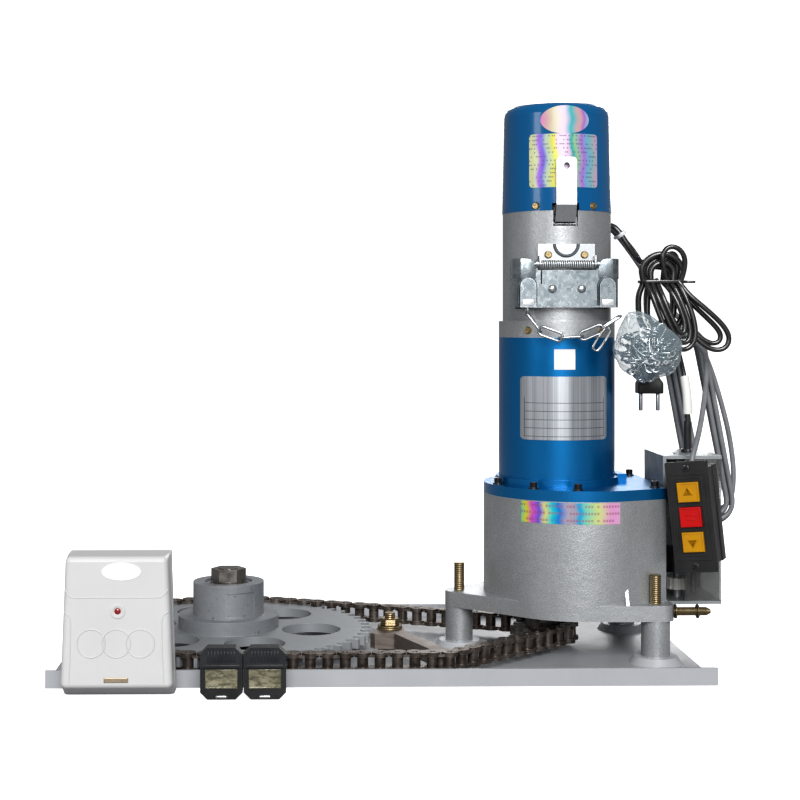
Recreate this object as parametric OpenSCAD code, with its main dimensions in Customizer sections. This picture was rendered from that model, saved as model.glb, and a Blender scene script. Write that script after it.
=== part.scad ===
/* [Base plate] */
// Length of the base plate
plate_l = 600; // [560:5:700]
// Depth of the base plate
plate_w = 308; // [300:2:400]
// Thickness of the plate's sheet
plate_t = 3; // [2:0.5:5]
// Height of the front and back rims above the floor
rim_h = 15.6; // [10:0.2:25]
// Top radius of an embossed pad
pad_r = 20; // [18:0.5:26]
// Height of an embossed pad above the sheet
pad_h = 7; // [4:0.5:8]
// Distance of a fixing hole from the plate's end
anchor_end = 15; // [12:1:40]
// Distance of a fixing hole from the plate's front or back
anchor_side = 34; // [20:1:60]
// Radius of a fixing hole
anchor_r = 5.5; // [3:0.5:7]

/* [Drum sprocket] */
// Distance of the drum axle from the plate's centre
drum_x = -145; // [-160:1:-140]
// Number of teeth on the drum sprocket
drum_teeth = 54; // [50:1:56]
// Thickness of both sprockets
sprocket_t = 8.8; // [7:0.1:9]
// Radius of the hub's barrel
hub_r = 35; // [30:1:45]
// Radius of the hub's flange
hub_flange_r = 49.5; // [45:0.5:53]
// Thickness of the hub's flange
hub_flange_t = 13.1; // [8:0.5:16]
// Height of the hub's top above the floor
hub_top_z = 68.5; // [64:0.5:90]
// Radius of a lightening hole
light_r = 29; // [20:0.5:29.5]
// Radius of the circle of lightening holes
light_pcd_r = 83; // [82:0.5:90]
// Radius of the drum axle
axle_r = 10; // [8:0.5:12]

/* [Chain] */
// Pitch of the roller chain
chain_pitch = 15.875; // [15:0.125:16.5]
// Radius of a chain roller
roller_r = 5.08; // [4.5:0.1:5.1]
// Distance between the inner plates
chain_gap = 9.4; // [9.4:0.1:10]
// Thickness of a link plate
link_t = 2.03; // [1.5:0.01:2.2]
// Height of a link plate
link_h = 15.1; // [13:0.1:15.5]
// Radius of a chain pin
chain_pin_r = 2.54; // [2:0.02:2.8]
// Height of the chain's middle plane
chain_z = 18.5; // [18:0.5:20]

/* [Gear housing] */
// Distance of the output shaft from the drum axle
centre_dist = 311.7; // [308:0.1:315]
// Radius of the gear housing
gear_r = 90; // [88:1:96]
// Place of the housing's centre along the plate
gear_x = 199; // [196:1:202]
// Height of the flange's underside
flange_z = 44; // [40:1:50]
// Thickness of the flange
flange_t = 14.8; // [12:0.2:18]
// Height of the housing's top edge
housing_top_z = 156; // [150:1:170]
// Wall of the housing
housing_wall = 6; // [4:0.5:7]
// Thickness of the gear cover
cover_t = 10.3; // [8:0.1:12]
// Radius of a leg spacer
leg_r = 13.5; // [12:0.5:16]
// Radius of a mounting bolt
stud_r = 5; // [4:0.25:6]
// Height of the mounting bolts' upper ends
stud_top_z = 86; // [75:1:100]

/* [Motor] */
// Place of the motor's axis along the plate
motor_x = 181; // [179:0.5:183]
// Outer radius of the motor tube
tube_r = 57; // [55:0.5:60]
// Wall of the motor tube
tube_wall = 3.5; // [2:0.5:4]
// Height of the motor tube's upper end
tube_top_z = 309.8; // [290:1:330]
// Height of the end shield
shield_h = 16; // [14:0.5:24]
// Outer radius of the brake housing
brake_r = 53.2; // [52.5:0.1:56]
// Wall of the brake housing
brake_wall = 3.5; // [2.5:0.5:4]
// Height of the brake housing
brake_h = 106.4; // [104:0.4:112]
// Radius of the top cap at its lower edge
cap_r = 53.7; // [53.2:0.1:56]
// Radius of the top cap at its top
cap_top_r = 51.6; // [50:0.1:53]
// Height of the top cap
cap_h = 105.2; // [95:1:120]
// Wall of the top cap
cap_wall = 2.5; // [1.5:0.5:3]
// Rounding of the top cap's upper edge
cap_round = 10; // [5:0.5:14]
// Radius of the rotor's shaft
shaft_r = 7.5; // [6:0.5:8]

/* [Release lever and guard] */
// Width of the release lever
lever_w = 19.6; // [16:0.2:22]
// Thickness of the release lever
lever_t = 2.5; // [1.5:0.25:3]
// Height of the release lever's top
lever_top_z = 483; // [470:1:500]
// Width of the notch that the lever passes through
notch_w = 24; // [23.5:0.5:30]
// Depth of that notch
notch_h = 15; // [12:0.5:15.5]
// Width of the chain guard
guard_w = 100; // [96:1:104]
// Thickness of the guard's sheet
guard_t = 2; // [1:0.25:2.5]
// Width of the guide bracket
bracket_w = 54.4; // [50:0.4:58]

/* [Limit box] */
// Length of the limit box away from the housing
limit_l = 57; // [50:1:70]
// Width of the limit box
limit_w = 80; // [70:2:90]
// Height of the limit box's lower end
limit_z = 51; // [48:1:56]
// Height of the limit box's upper end
limit_top_z = 195; // [185:1:210]
// Thickness of the limit bracket's sheet
limit_t = 3; // [2:0.5:4]

/* [Push button station] */
// Width of the station's faceplate
station_w = 40; // [38:1:46]
// Height of the station's faceplate
station_h = 104; // [100:1:110]
// Depth of the station's case
station_d = 43; // [36:1:46]
// Lean of the station in its own plane
station_lean = 6; // [0:1:8]
// Turn of the station about the vertical
station_turn = 27; // [22:1:30]
// Width of a push button
button_w = 20; // [16:0.5:22]
// Height of a push button
button_h = 18.5; // [16:0.5:20]
// Travel of a push button
button_travel = 3; // [2:0.5:4]

/* [Receiver and remotes] */
// Width of the receiver at its foot
receiver_w = 96.6; // [90:1:110]
// Height of the receiver
receiver_h = 123; // [110:1:140]
// Depth of the receiver
receiver_d = 35; // [28:1:40]
// Width of a remote
remote_w = 36.5; // [34:0.5:37.5]
// Height of a remote
remote_h = 45; // [42:0.5:50]
// Depth of a remote
remote_d = 12; // [11:0.5:16]

/* [Hidden] */
$fn = 64;
// Facets of the small rounded corners that are blended
round_fn = 24;
// Length by which a cut runs past a face
over = 1;
// Running clearance of a shaft in its hole, on the radius
run_clear = 0.05;
// Clearance of pieces that sit in or on each other
seat_clear = 0.02;
// Gap that keeps moving pieces apart
gap = 0.3;

// Heights that pieces share
plate_top = plate_t;
pad_top = plate_top + pad_h;
flange_top = flange_z + flange_t;
cover_top = housing_top_z + cover_t;
shield_top = tube_top_z + shield_h;
brake_top = shield_top + brake_h;
cap_top = brake_top + cap_h;
sprocket_low = chain_z - sprocket_t / 2;
sprocket_top = chain_z + sprocket_t / 2;

// Places in plan
drive_x = drum_x + centre_dist;
ear_x = 84;
ear_r = 14;
flat_x = 275;
flat_slope = 24;
leg_back_x = 262;
leg_room = 5.83;
body_side = polar(gear_r, 90 - flat_slope);
leg_y = body_side[1] - (leg_back_x - gear_x - body_side[0]) * tan(flat_slope) + leg_room;
leg_places = [[ear_x, 0], [leg_back_x, -leg_y], [leg_back_x, leg_y]];
pawl_pivot = [14, -19];
pawl_end = [55.2, -118.3];
pawl_end_r = 9;

// The sprockets
drive_teeth = 11;
seat_room = 0.2;
seat_r = roller_r + seat_room;
tip_share = 0.3;
seat_turns = [120 : 20 : 240];
drum_pitch_r = chain_pitch / 2 / sin(180 / drum_teeth);
drive_pitch_r = chain_pitch / 2 / sin(180 / drive_teeth);
drum_tip_r = drum_pitch_r + tip_share * chain_pitch;
drive_tip_share = 0.23;
drive_tip_r = drive_pitch_r + drive_tip_share * chain_pitch;

function polar(r, a) = [r * cos(a), r * sin(a)];

// One tooth gap of a sprocket: the roller's seat, then the tip of the next tooth
function tooth_gap(c, pitch_r, tip_r, teeth, tip_half) =
    let (centre = polar(pitch_r, c))
    concat(
        [for (a = seat_turns) centre + polar(seat_r, c - a)],
        [polar(tip_r, c + 180 / teeth - tip_half), polar(tip_r, c + 180 / teeth + tip_half)]);

function sprocket_outline(teeth, pitch_r, tip_r, tip_w) =
    let (tip_half = asin(tip_w / 2 / tip_r))
    [for (i = [0 : teeth - 1]) each tooth_gap(i * 360 / teeth, pitch_r, tip_r, teeth, tip_half)];

// The chain's run: round the drum, round the drive sprocket, and out over the pawl's end
drum_at = [drum_x, 0];
drive_at = [drive_x, 0];
bend_dir = -68.3;
bend_at = pawl_end + polar(pawl_end_r + link_h / 2 + gap, bend_dir);
back_angle = 90 - asin((drum_pitch_r - drive_pitch_r) / centre_dist);

function angle_of(v) = atan2(v[1], v[0]);

drum_end = angle_of(bend_at - drum_at) + asin(drum_pitch_r / norm(bend_at - drum_at)) + 270;
drive_start = angle_of(drive_at - bend_at) - asin(drive_pitch_r / norm(drive_at - bend_at)) - 90;
drum_steps = floor((drum_end - back_angle) * drum_teeth / 360);
drive_steps = floor((back_angle - drive_start) * drive_teeth / 360);
drum_phase_share = 1;
drive_phase_share = 0.55;
drum_first = back_angle + drum_phase_share * (drum_end - back_angle - drum_steps * 360 / drum_teeth);
drive_first = drive_start
    + drive_phase_share * (back_angle - drive_start - drive_steps * 360 / drive_teeth);
drum_pins = [for (i = [0 : drum_steps]) drum_at + polar(drum_pitch_r, drum_first + i * 360 / drum_teeth)];
drive_pins = [for (i = [0 : drive_steps])
    drive_at + polar(drive_pitch_r, drive_first + i * 360 / drive_teeth)];

// Pins between two ends, without the ends themselves
function between(a, b, count) = [for (i = [1 : 1 : count - 1]) a + (b - a) * i / count];

function links_along(a, b) = round(norm(b - a) / chain_pitch);

out_links = links_along(bend_at, drive_pins[0]);
in_links = links_along(drum_pins[drum_steps], bend_at);
back_links = links_along(drive_pins[drive_steps], drum_pins[0]);
odd_link = (out_links + in_links + back_links + drum_steps + drive_steps) % 2;
chain_pins = concat([bend_at], between(bend_at, drive_pins[0], out_links), drive_pins,
    between(drive_pins[drive_steps], drum_pins[0], back_links + odd_link), drum_pins,
    between(drum_pins[drum_steps], bend_at, in_links));

// Gear train: motor pinion, counter gear, counter pinion, output gear
pinion_teeth = 12;
counter_teeth = 50;
low_teeth = 12;
output_teeth = 45;
gear_room = 4.9;
tooth_share = 0.9;
// How much shorter the fine pair's axis distance is than the coarse pair's
dist_step = 10.5;
coarse_module = (gear_r - housing_wall - gear_x + drive_x - gear_room) / (output_teeth / 2 + tooth_share);
backlash = 0.24;
coarse_dist = coarse_module * (low_teeth + output_teeth) / 2;
fine_dist = coarse_dist - dist_step;
fine_module = 2 * fine_dist / (pinion_teeth + counter_teeth);
shaft_step = motor_x - drive_x;
counter_dx = (pow(shaft_step, 2) + pow(coarse_dist, 2) - pow(fine_dist, 2)) / 2 / shaft_step;
counter_dy = sqrt(pow(coarse_dist, 2) - pow(counter_dx, 2));
counter_at = [drive_x + counter_dx, counter_dy];
motor_at = [motor_x, 0];

// Involute teeth: pressure angle, root depth as a share of the module, steps up the flank
pressure_turn = 20;
root_share = 1.2;
flank_steps = 4;

function involute(a) = tan(a) * 180 / PI - a;

// Half the angle of a tooth at radius r
function tooth_half(r, m, teeth) =
    let (pitch_r = m * teeth / 2, base_r = pitch_r * cos(pressure_turn))
    90 / teeth - backlash / 2 / pitch_r * 180 / PI + involute(pressure_turn)
    - (r > base_r ? involute(acos(base_r / r)) : 0);

function gear_tooth(c, m, teeth) =
    let (pitch_r = m * teeth / 2, base_r = pitch_r * cos(pressure_turn),
        tip_r = pitch_r + tooth_share * m,
        root_r = pitch_r - root_share * m, low_r = max(root_r, base_r),
        radii = [root_r, for (i = [0 : flank_steps]) low_r + (tip_r - low_r) * i / flank_steps])
    concat([for (r = radii) polar(r, c - tooth_half(r, m, teeth))],
        [for (i = [len(radii) - 1 : -1 : 0]) polar(radii[i], c + tooth_half(radii[i], m, teeth))]);

module spur(m, teeth, low, high, turn) {
    translate([0, 0, low])
        rotate(turn)
            linear_extrude(high - low)
                polygon([for (i = [0 : teeth - 1]) each gear_tooth(i * 360 / teeth, m, teeth)]);
}

fine_dir = angle_of(counter_at - motor_at);
coarse_dir = angle_of([drive_x, 0] - counter_at);
fine_low = 122;
fine_high = 136;
coarse_low = 84;
coarse_high = 104;
shoulder_h = 2;
counter_hub_wall = 2;
coarse_lap = 2;
fine_inset = 1;

// Plain shapes that repeat
module at(place, z = 0) {
    translate([place[0], place[1], z])
        children();
}

module rod(r, low, high) {
    translate([0, 0, low])
        cylinder(r = r, h = high - low);
}

module ring(outer, inner, low, high) {
    difference() {
        rod(outer, low, high);
        rod(inner, low - over, high + over);
    }
}

hex_half_turn = 30;
hex_sides = 6;

module hexagon(across, low, high) {
    translate([0, 0, low])
        cylinder(r = across / 2 / cos(hex_half_turn), h = high - low, $fn = hex_sides);
}

module block(low, high) {
    translate(low)
        cube(high - low);
}

// A bar along X
module x_rod(r, from, to) {
    translate([from, 0, 0])
        rotate([0, 90, 0])
            cylinder(r = r, h = to - from);
}

// A flat plate in the XZ plane with round corners, from y = 0 towards the back
module round_plate(w, h, t, r) {
    rotate([90, 0, 0])
        translate([0, 0, -t])
            linear_extrude(t)
                round_square(w, h, r);
}

module round_square(w, h, r) {
    square([w - 2 * r, h], center = true);
    square([w, h - 2 * r], center = true);
    for (x = [-1, 1], y = [-1, 1])
        translate([x * (w / 2 - r), y * (h / 2 - r)])
            circle(r);
}

// Base plate
rim_t = plate_t;
pad_slope = 5;
foot_r = 16;

module base_plate() {
    color("lightgray")
    difference() {
        union() {
            block([-plate_l / 2, -plate_w / 2, 0], [plate_l / 2, plate_w / 2, plate_t]);
            for (side = [-1, 1])
                translate([0, side * (plate_w / 2 - rim_t / 2), rim_h / 2])
                    cube([plate_l, rim_t, rim_h], center = true);
            for (place = leg_places)
                at(place, plate_top)
                    cylinder(r1 = pad_r + pad_slope, r2 = pad_r, h = pad_h);
        }
        for (place = leg_places) {
            at(place)
                translate([0, 0, -over])
                    cylinder(r = bolt_pocket_r, h = pad_top - plate_t + over);
            at(place)
                rod(stud_r + run_clear, 0, pad_top + over);
        }
        for (x = [-1, 1], y = [-1, 1])
            at([x * (plate_l / 2 - anchor_end), y * (plate_w / 2 - anchor_side)])
                rod(anchor_r, -over, plate_t + over);
    }
}

// Leg spacers and the long bolts
// Width of a hexagon as a share of its bolt's width, and of the pivot's nut in plate thicknesses
hex_share = 1.6;
nut_share = 3.2;
pocket_room = 2.5;
bolt_across = hex_share * 2 * stud_r;
bolt_head_h = 5.8;
bolt_pocket_r = bolt_across / 2 / cos(hex_half_turn) + pocket_room;
leg_wall_gap = run_clear;
pawl_bolt_r = 5;
pawl_low = 10.3;
pawl_step = 4.8;
pawl_layers = 3;
pawl_high = pawl_low + pawl_layers * pawl_step;
pawl_bolt_top = 40;
pawl_foot_r = 12;

module leg_spacers() {
    color("silver")
    for (place = leg_places)
        at(place)
            ring(leg_r, stud_r + leg_wall_gap, pad_top, flange_z);
}

module plate_bolts() {
    color("goldenrod")
    for (place = leg_places)
        at(place) {
            hexagon(bolt_across, pad_top - plate_t - bolt_head_h, pad_top - plate_t);
            rod(stud_r, pad_top - plate_t, stud_top_z);
        }
    color("silver")
    at(pawl_pivot) {
        rod(pawl_foot_r, plate_top, pawl_low - gap);
        rod(pawl_bolt_r, plate_top, pawl_bolt_top);
        ring(pawl_foot_r, pawl_bolt_r, pawl_high + gap, pawl_high + gap + plate_t);
        hexagon(hex_share * 2 * pawl_bolt_r, pawl_high + gap + plate_t,
            pawl_high + gap + nut_share * plate_t);
    }
}

// Drum axle with the pieces that stay on it
bearing_r = 23.5;
bearing_inner_r = 14.5;
bearing_outer_in_r = 19.5;
bearing_h = 14;
low_bearing_z = sprocket_low;
hub_lip_h = 2.5;
top_bearing_z = hub_top_z - bearing_h - hub_lip_h;
washer_t = 3;
nut_h = 12;
axle_nut_share = 3;
nut_across = axle_nut_share * axle_r;

module drum_axle() {
    color("dimgray")
    at(drum_at) {
        rod(foot_r, plate_top, low_bearing_z - 2 * gap);
        rod(axle_r, low_bearing_z - 2 * gap, top_bearing_z + bearing_h + washer_t + nut_h + 2 * gap);
        ring(bearing_inner_r, axle_r + seat_clear, low_bearing_z - gap, low_bearing_z + bearing_h);
        ring(axle_r + washer_t, axle_r + seat_clear, low_bearing_z + bearing_h, top_bearing_z);
        ring(bearing_inner_r, axle_r + seat_clear, top_bearing_z, top_bearing_z + bearing_h);
        ring(bearing_inner_r + over, axle_r + seat_clear, top_bearing_z + bearing_h,
            top_bearing_z + bearing_h + washer_t);
        difference() {
            hexagon(nut_across, top_bearing_z + bearing_h + washer_t,
                top_bearing_z + bearing_h + washer_t + nut_h);
            rod(axle_r + seat_clear, 0, hub_top_z * 2);
        }
    }
}

// Sprocket wheel and its hub, which turn on the axle
tip_w = 3.2;
spigot_r = 30;
light_holes = 6;
light_turn = 10;

module sprocket_wheel() {
    color("darkgray")
    at(drum_at)
        difference() {
            translate([0, 0, sprocket_low])
                rotate(drum_first)
                    linear_extrude(sprocket_t)
                        polygon(sprocket_outline(drum_teeth, drum_pitch_r, drum_tip_r, tip_w));
            rod(spigot_r + seat_clear, 0, hub_top_z);
            for (i = [0 : light_holes - 1])
                rotate(i * 360 / light_holes - light_turn)
                    translate([light_pcd_r, 0])
                        rod(light_r, 0, hub_top_z);
        }
}

recess_d = 1.2;
recess_from = -90;
recess_to = -41;
recess_drop = 7;
recess_rise = 2;
seal_in = 1.5;
recess_top = hub_top_z - recess_drop;
recess_low = sprocket_top + hub_flange_t + recess_rise;

module recess_wedge() {
    reach = 2 * hub_r;
    translate([0, 0, recess_low])
        linear_extrude(recess_top - recess_low)
            polygon([[0, 0], polar(reach, recess_from), polar(reach, (recess_from + recess_to) / 2),
                polar(reach, recess_to)]);
}

module sprocket_hub() {
    color("gray")
    at(drum_at) {
        difference() {
            union() {
                rod(spigot_r, sprocket_low, sprocket_top + hub_flange_t / 2);
                rod(hub_flange_r, sprocket_top, sprocket_top + hub_flange_t);
                rod(hub_r, sprocket_top, hub_top_z);
            }
            rod(bearing_outer_in_r, 0, hub_top_z + over);
            rod(bearing_r + seat_clear, 0, low_bearing_z + bearing_h + seat_clear);
            rod(bearing_r + seat_clear, top_bearing_z - seat_clear, hub_top_z + over);
            intersection() {
                ring(hub_r + over, hub_r - recess_d, recess_low, recess_top);
                recess_wedge();
            }
        }
        ring(bearing_r, bearing_outer_in_r, low_bearing_z, low_bearing_z + bearing_h);
        ring(bearing_r, bearing_outer_in_r, top_bearing_z, top_bearing_z + bearing_h);
        for (z = [low_bearing_z + seal_in, top_bearing_z + seal_in])
            ring(bearing_outer_in_r - seat_clear, bearing_inner_r + gap / 2, z, z + bearing_h - 2 * seal_in);
    }
}

// Gear housing: flange with ears, round body with a flat, boss of the output bearings
flange_round = 10;
flange_x = 278;
// Depth by which a straight side starts inside the round that it runs off, and the round's lap
tuck = 0.05;
body_lap = 12;
boss_wall = 5;
output_boss_r = bearing_r + boss_wall;
output_boss_top = 79;
bearing_rise = 1;
counter_r = 7;
counter_boss_r = counter_r + boss_wall;
floor_rise = 1.2;
floor_z = flange_top + floor_rise;
counter_boss_h = 16;
counter_bore_h = 14;
counter_boss_top = floor_z + counter_boss_h;
gusset_t = 3;
gusset_h = 21;
gusset_x = 233;

module body_outline(r) {
    flat = flat_x - gear_r + r;
    side = polar(r - tuck, 90 - flat_slope);
    flat_half = side[1] - (flat - gear_x - side[0]) * tan(flat_slope);
    difference() {
        translate([gear_x, 0])
            circle(r);
        translate([gear_x + side[0] + body_lap, -r])
            square(2 * r);
    }
    polygon([[gear_x, 0], [gear_x + side[0], -side[1]], [flat, -flat_half], [flat, flat_half],
        [gear_x + side[0], side[1]]]);
}

module flange_outline() {
    tangent = acos((ear_r - gear_r) / (gear_x - ear_x));
    small = polar(ear_r - tuck, tangent);
    big = polar(gear_r - tuck, tangent);
    difference() {
        translate([gear_x, 0])
            circle(gear_r);
        translate([gear_x, -gear_r])
            square(2 * gear_r);
    }
    translate([ear_x, 0])
        circle(ear_r);
    polygon([[ear_x + small[0], small[1]], [ear_x + small[0], -small[1]], [gear_x + big[0], -big[1]],
        [gear_x + over, -gear_r / 2], [gear_x + over, gear_r / 2], [gear_x + big[0], big[1]]]);
    translate([gear_x, -gear_r])
        square([flange_x - gear_x - flange_round, 2 * gear_r]);
    translate([(gear_x + flange_x) / 2, 0])
        round_square(flange_x - gear_x, 2 * gear_r, flange_round);
}

module gusset(side) {
    translate([gusset_x + gusset_t / 2, side * gear_r, flange_top])
        rotate([0, -90, 0])
            linear_extrude(gusset_t)
                polygon([[0, 0], [0, -side * gusset_h / 2], [gusset_h, -side * gusset_h / 2]]);
}

module gear_housing() {
    color("silver")
    difference() {
        union() {
            translate([0, 0, flange_z])
                linear_extrude(flange_t)
                    flange_outline();
            difference() {
                translate([0, 0, flange_top])
                    linear_extrude(housing_top_z - flange_top)
                        body_outline(gear_r);
                translate([0, 0, floor_z])
                    linear_extrude(housing_top_z)
                        body_outline(gear_r - housing_wall);
            }
            for (side = [-1, 1])
                gusset(side);
            at(drive_at)
                rod(output_boss_r, flange_top, output_boss_top);
            at(counter_at)
                rod(counter_boss_r, flange_top, counter_boss_top);
            for (place = cover_screw_places)
                at(place)
                    rod(screw_boss_r, housing_top_z - screw_boss_h, housing_top_z);
        }
        at(drive_at) {
            rod(bearing_r + seat_clear, flange_z - over, flange_z + bearing_h + bearing_rise);
            rod(bearing_outer_in_r, flange_z - over, output_boss_top + over);
            rod(bearing_r + seat_clear, output_boss_top - bearing_h, output_boss_top + over);
        }
        at(counter_at)
            rod(counter_r + run_clear, counter_boss_top - counter_bore_h, counter_boss_top + over);
        for (place = leg_places)
            at(place)
                rod(stud_r + run_clear, flange_z - over, flange_top + over);
        for (side = [-1, 1])
            at([leg_back_x + spare_hole_x, side * (leg_y - spare_hole_in)])
                rod(spare_hole_r, flange_z - over, flange_top + over);
        for (place = cover_screw_places)
            at(place)
                rod(cover_screw_r + seat_clear, housing_top_z - screw_boss_h + over, housing_top_z + over);
    }
}

spare_hole_r = 2.5;
spare_hole_x = 9.5;
spare_hole_in = 6;

// Gear cover with the motor's seat, and its socket screws
cover_screw_r = 2.5;
cover_head_r = 3.6;
cover_head_h = 5;
cover_washer_t = 1.2;
screw_boss_r = 6;
screw_boss_h = 16;
screw_edge = 1.4;
screw_ring_r = gear_r - screw_boss_r - screw_edge;
// The front pair of screws keeps its distance from the flat side's corners
front_screw_in = 9;
front_screw_edge = 8.68;
front_screw_y = body_side[1] - (flat_x - gear_x - body_side[0]) * tan(flat_slope) - front_screw_edge;
cover_screw_turns = [196, 232, 262, 128, 98];
cover_screw_places = concat(
    [for (a = cover_screw_turns) [gear_x, 0] + polar(screw_ring_r, a)],
    [for (side = [-1, 1]) [flat_x - front_screw_in, side * front_screw_y]]);
motor_bearing_r = 17.5;
motor_bearing_h = 11;
cover_boss_wall = 4.5;
cover_boss_drop = 8;
seat_ring_wall = 3.5;
cover_boss_r = motor_bearing_r + cover_boss_wall;
cover_boss_low = housing_top_z - cover_boss_drop;
seat_ring_r = tube_r + seat_ring_wall;
seat_ring_h = 6.7;
step_l = 10;
step_w = 28;
step_room = 1;
step_h = 8.7;
bearing_floor = 3;
shaft_room = 3;
counter_top_bore = 16;
cover_washer_lap = 1.2;

module gear_cover() {
    color("royalblue")
    difference() {
        union() {
            translate([0, 0, housing_top_z])
                linear_extrude(cover_t)
                    body_outline(gear_r);
            at(motor_at)
                rod(cover_boss_r, cover_boss_low, cover_top);
            at(counter_at)
                rod(counter_boss_r, fine_high + shoulder_h, cover_top);
            at(motor_at)
                ring(seat_ring_r, tube_r + seat_clear, housing_top_z + over, cover_top + seat_ring_h);
            block([motor_x + tube_r + step_room, -step_w / 2, housing_top_z + over],
                [motor_x + tube_r + step_l, step_w / 2, cover_top + step_h]);
        }
        at(motor_at) {
            rod(motor_bearing_r + seat_clear, cover_boss_low + bearing_floor, cover_top + over);
            rod(shaft_r + shaft_room, cover_boss_low - over, cover_top + over);
        }
        at(counter_at)
            rod(counter_r + run_clear, fine_high, fine_high + counter_top_bore);
        for (place = cover_screw_places)
            at(place)
                rod(cover_screw_r + seat_clear, housing_top_z - over, cover_top + over);
    }
}

module cover_screws() {
    color("black")
    for (place = cover_screw_places)
        at(place) {
            difference() {
                rod(cover_head_r, cover_top + cover_washer_t, cover_top + cover_washer_t + cover_head_h);
                hexagon(cover_head_r, cover_top + cover_washer_t + cover_head_h / 2,
                    cover_top + cover_washer_t + cover_head_h + over);
            }
            rod(cover_screw_r, housing_top_z - screw_boss_h / 2, cover_top + cover_washer_t);
            ring(cover_head_r + cover_washer_lap, cover_screw_r + seat_clear, cover_top,
                cover_top + cover_washer_t);
        }
}

// Fixed rings of the shaft bearings
module shaft_bearings() {
    color("lightsteelblue") {
        for (z = [flange_z + bearing_rise, output_boss_top - bearing_h])
            at(drive_at)
                ring(bearing_r, bearing_outer_in_r, z, z + bearing_h);
        for (z = [cover_boss_low + bearing_floor, shield_top - motor_bearing_h - bearing_floor])
            at(motor_at)
                ring(motor_bearing_r, shaft_r + 2 * shaft_room, z, z + motor_bearing_h);
    }
}

// Output shaft, drive sprocket and output gear
drive_hub_r = 17;
drive_screw_r = 4;
drive_washer_r = 14;
shaft_end = 3;
drive_hex_share = 3.3;
drive_head_share = 2.6;
counter_foot_h = 12;
counter_top_h = 14;

module output_shaft() {
    color("dimgray")
    at(drive_at) {
        rod(axle_r, sprocket_low, coarse_high + shaft_end);
        for (z = [flange_z + bearing_rise, output_boss_top - bearing_h])
            ring(bearing_inner_r, axle_r, z, z + bearing_h);
        rod(drive_washer_r, sprocket_low - plate_t, sprocket_low);
        hexagon(drive_hex_share * drive_screw_r, sprocket_low - drive_head_share * plate_t,
            sprocket_low - plate_t);
    }
}

module drive_sprocket() {
    color("dimgray")
    at(drive_at)
        difference() {
            union() {
                translate([0, 0, sprocket_low])
                    rotate(drive_first)
                        linear_extrude(sprocket_t)
                            polygon(sprocket_outline(drive_teeth, drive_pitch_r, drive_tip_r, tip_w));
                rod(drive_hub_r, sprocket_low, flange_z + bearing_rise - gap);
            }
            rod(axle_r + seat_clear, 0, flange_top);
        }
}

module output_gear() {
    color("slategray")
    at(drive_at)
        difference() {
            spur(coarse_module, output_teeth, coarse_low, coarse_high,
                coarse_dir + 180 + 180 / output_teeth);
            rod(axle_r + seat_clear, 0, housing_top_z);
        }
}

module counter_gear() {
    color("slategray")
    at(counter_at) {
        rod(counter_r, counter_boss_top - counter_foot_h, fine_high + counter_top_h);
        rod(counter_r + counter_hub_wall, counter_boss_top + gap, fine_high + shoulder_h - gap);
        spur(coarse_module, low_teeth, coarse_low - coarse_lap, coarse_high + coarse_lap, coarse_dir);
        spur(fine_module, counter_teeth, fine_low, fine_high - fine_inset,
            fine_dir + 180 + 180 / counter_teeth);
    }
}

// Motor: tube, stator with windings, rotor with its pinion
stack_low = 190;
stack_high = 262;
air_gap = 0.5;
rotor_r = 31.5;
winding_h = 13;
winding_r = 48;
tube_in_r = tube_r - tube_wall;
shaft_top = 418;
winding_room = 3;
pinion_low_lap = 2;
pinion_high_lap = 3;

module motor_tube() {
    color("dodgerblue")
    at(motor_at)
        ring(tube_r, tube_in_r, cover_top, tube_top_z);
}

module stator() {
    color("dimgray")
    at(motor_at)
        ring(tube_in_r - seat_clear, rotor_r + air_gap, stack_low, stack_high);
    color("peru")
    at(motor_at) {
        ring(winding_r, rotor_r + winding_room, stack_low - winding_h, stack_low);
        ring(winding_r, rotor_r + winding_room, stack_high, stack_high + winding_h);
    }
}

module rotor() {
    color("lightslategray")
    at(motor_at) {
        rod(shaft_r, fine_high + shoulder_h, shaft_top);
        rod(rotor_r, stack_low + over, stack_high - over);
        spur(fine_module, pinion_teeth, fine_low - pinion_low_lap, fine_high + pinion_high_lap, fine_dir);
        for (z = [cover_boss_low + bearing_floor, shield_top - motor_bearing_h - bearing_floor])
            ring(shaft_r + shaft_room, shaft_r, z, z + motor_bearing_h);
    }
}

// End shield between the tube and the brake housing
shield_spigot_h = 6;
spigot_wall = 5;
shield_bore_h = 8;

module end_shield() {
    color("silver")
    at(motor_at)
        difference() {
            union() {
                rod(tube_r, tube_top_z, shield_top);
                rod(tube_in_r - seat_clear, tube_top_z - shield_spigot_h, tube_top_z + over);
            }
            rod(tube_in_r - spigot_wall, tube_top_z - shield_spigot_h - over, tube_top_z);
            rod(motor_bearing_r + seat_clear, tube_top_z - over, shield_top - bearing_floor);
            rod(shaft_r + shaft_room, tube_top_z, shield_top + over);
            for (a = shield_screw_turns)
                rotate(a)
                    translate([0, 0, shield_screw_z])
                        x_rod(small_screw_r + seat_clear, tube_r - shield_bore_h, tube_r + over);
        }
}

// Brass cross head screws
small_screw_r = 2;
small_head_r = 3.8;
small_head_h = 2.2;
small_screw_l = 6;
shield_screw_rise = 7;
cap_screw_rise = 4.6;
head_taper_share = 0.7;
cross_share = 1.2;
cross_width_share = 0.25;
cross_l = small_head_r * cross_share;
cross_w = small_head_r * cross_width_share;
shield_screw_z = tube_top_z + shield_screw_rise;
shield_screw_turns = [-128, -52, 90];
cap_screw_turns = [-121, -59, 90];
cap_screw_z = brake_top + cap_screw_rise;

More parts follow.
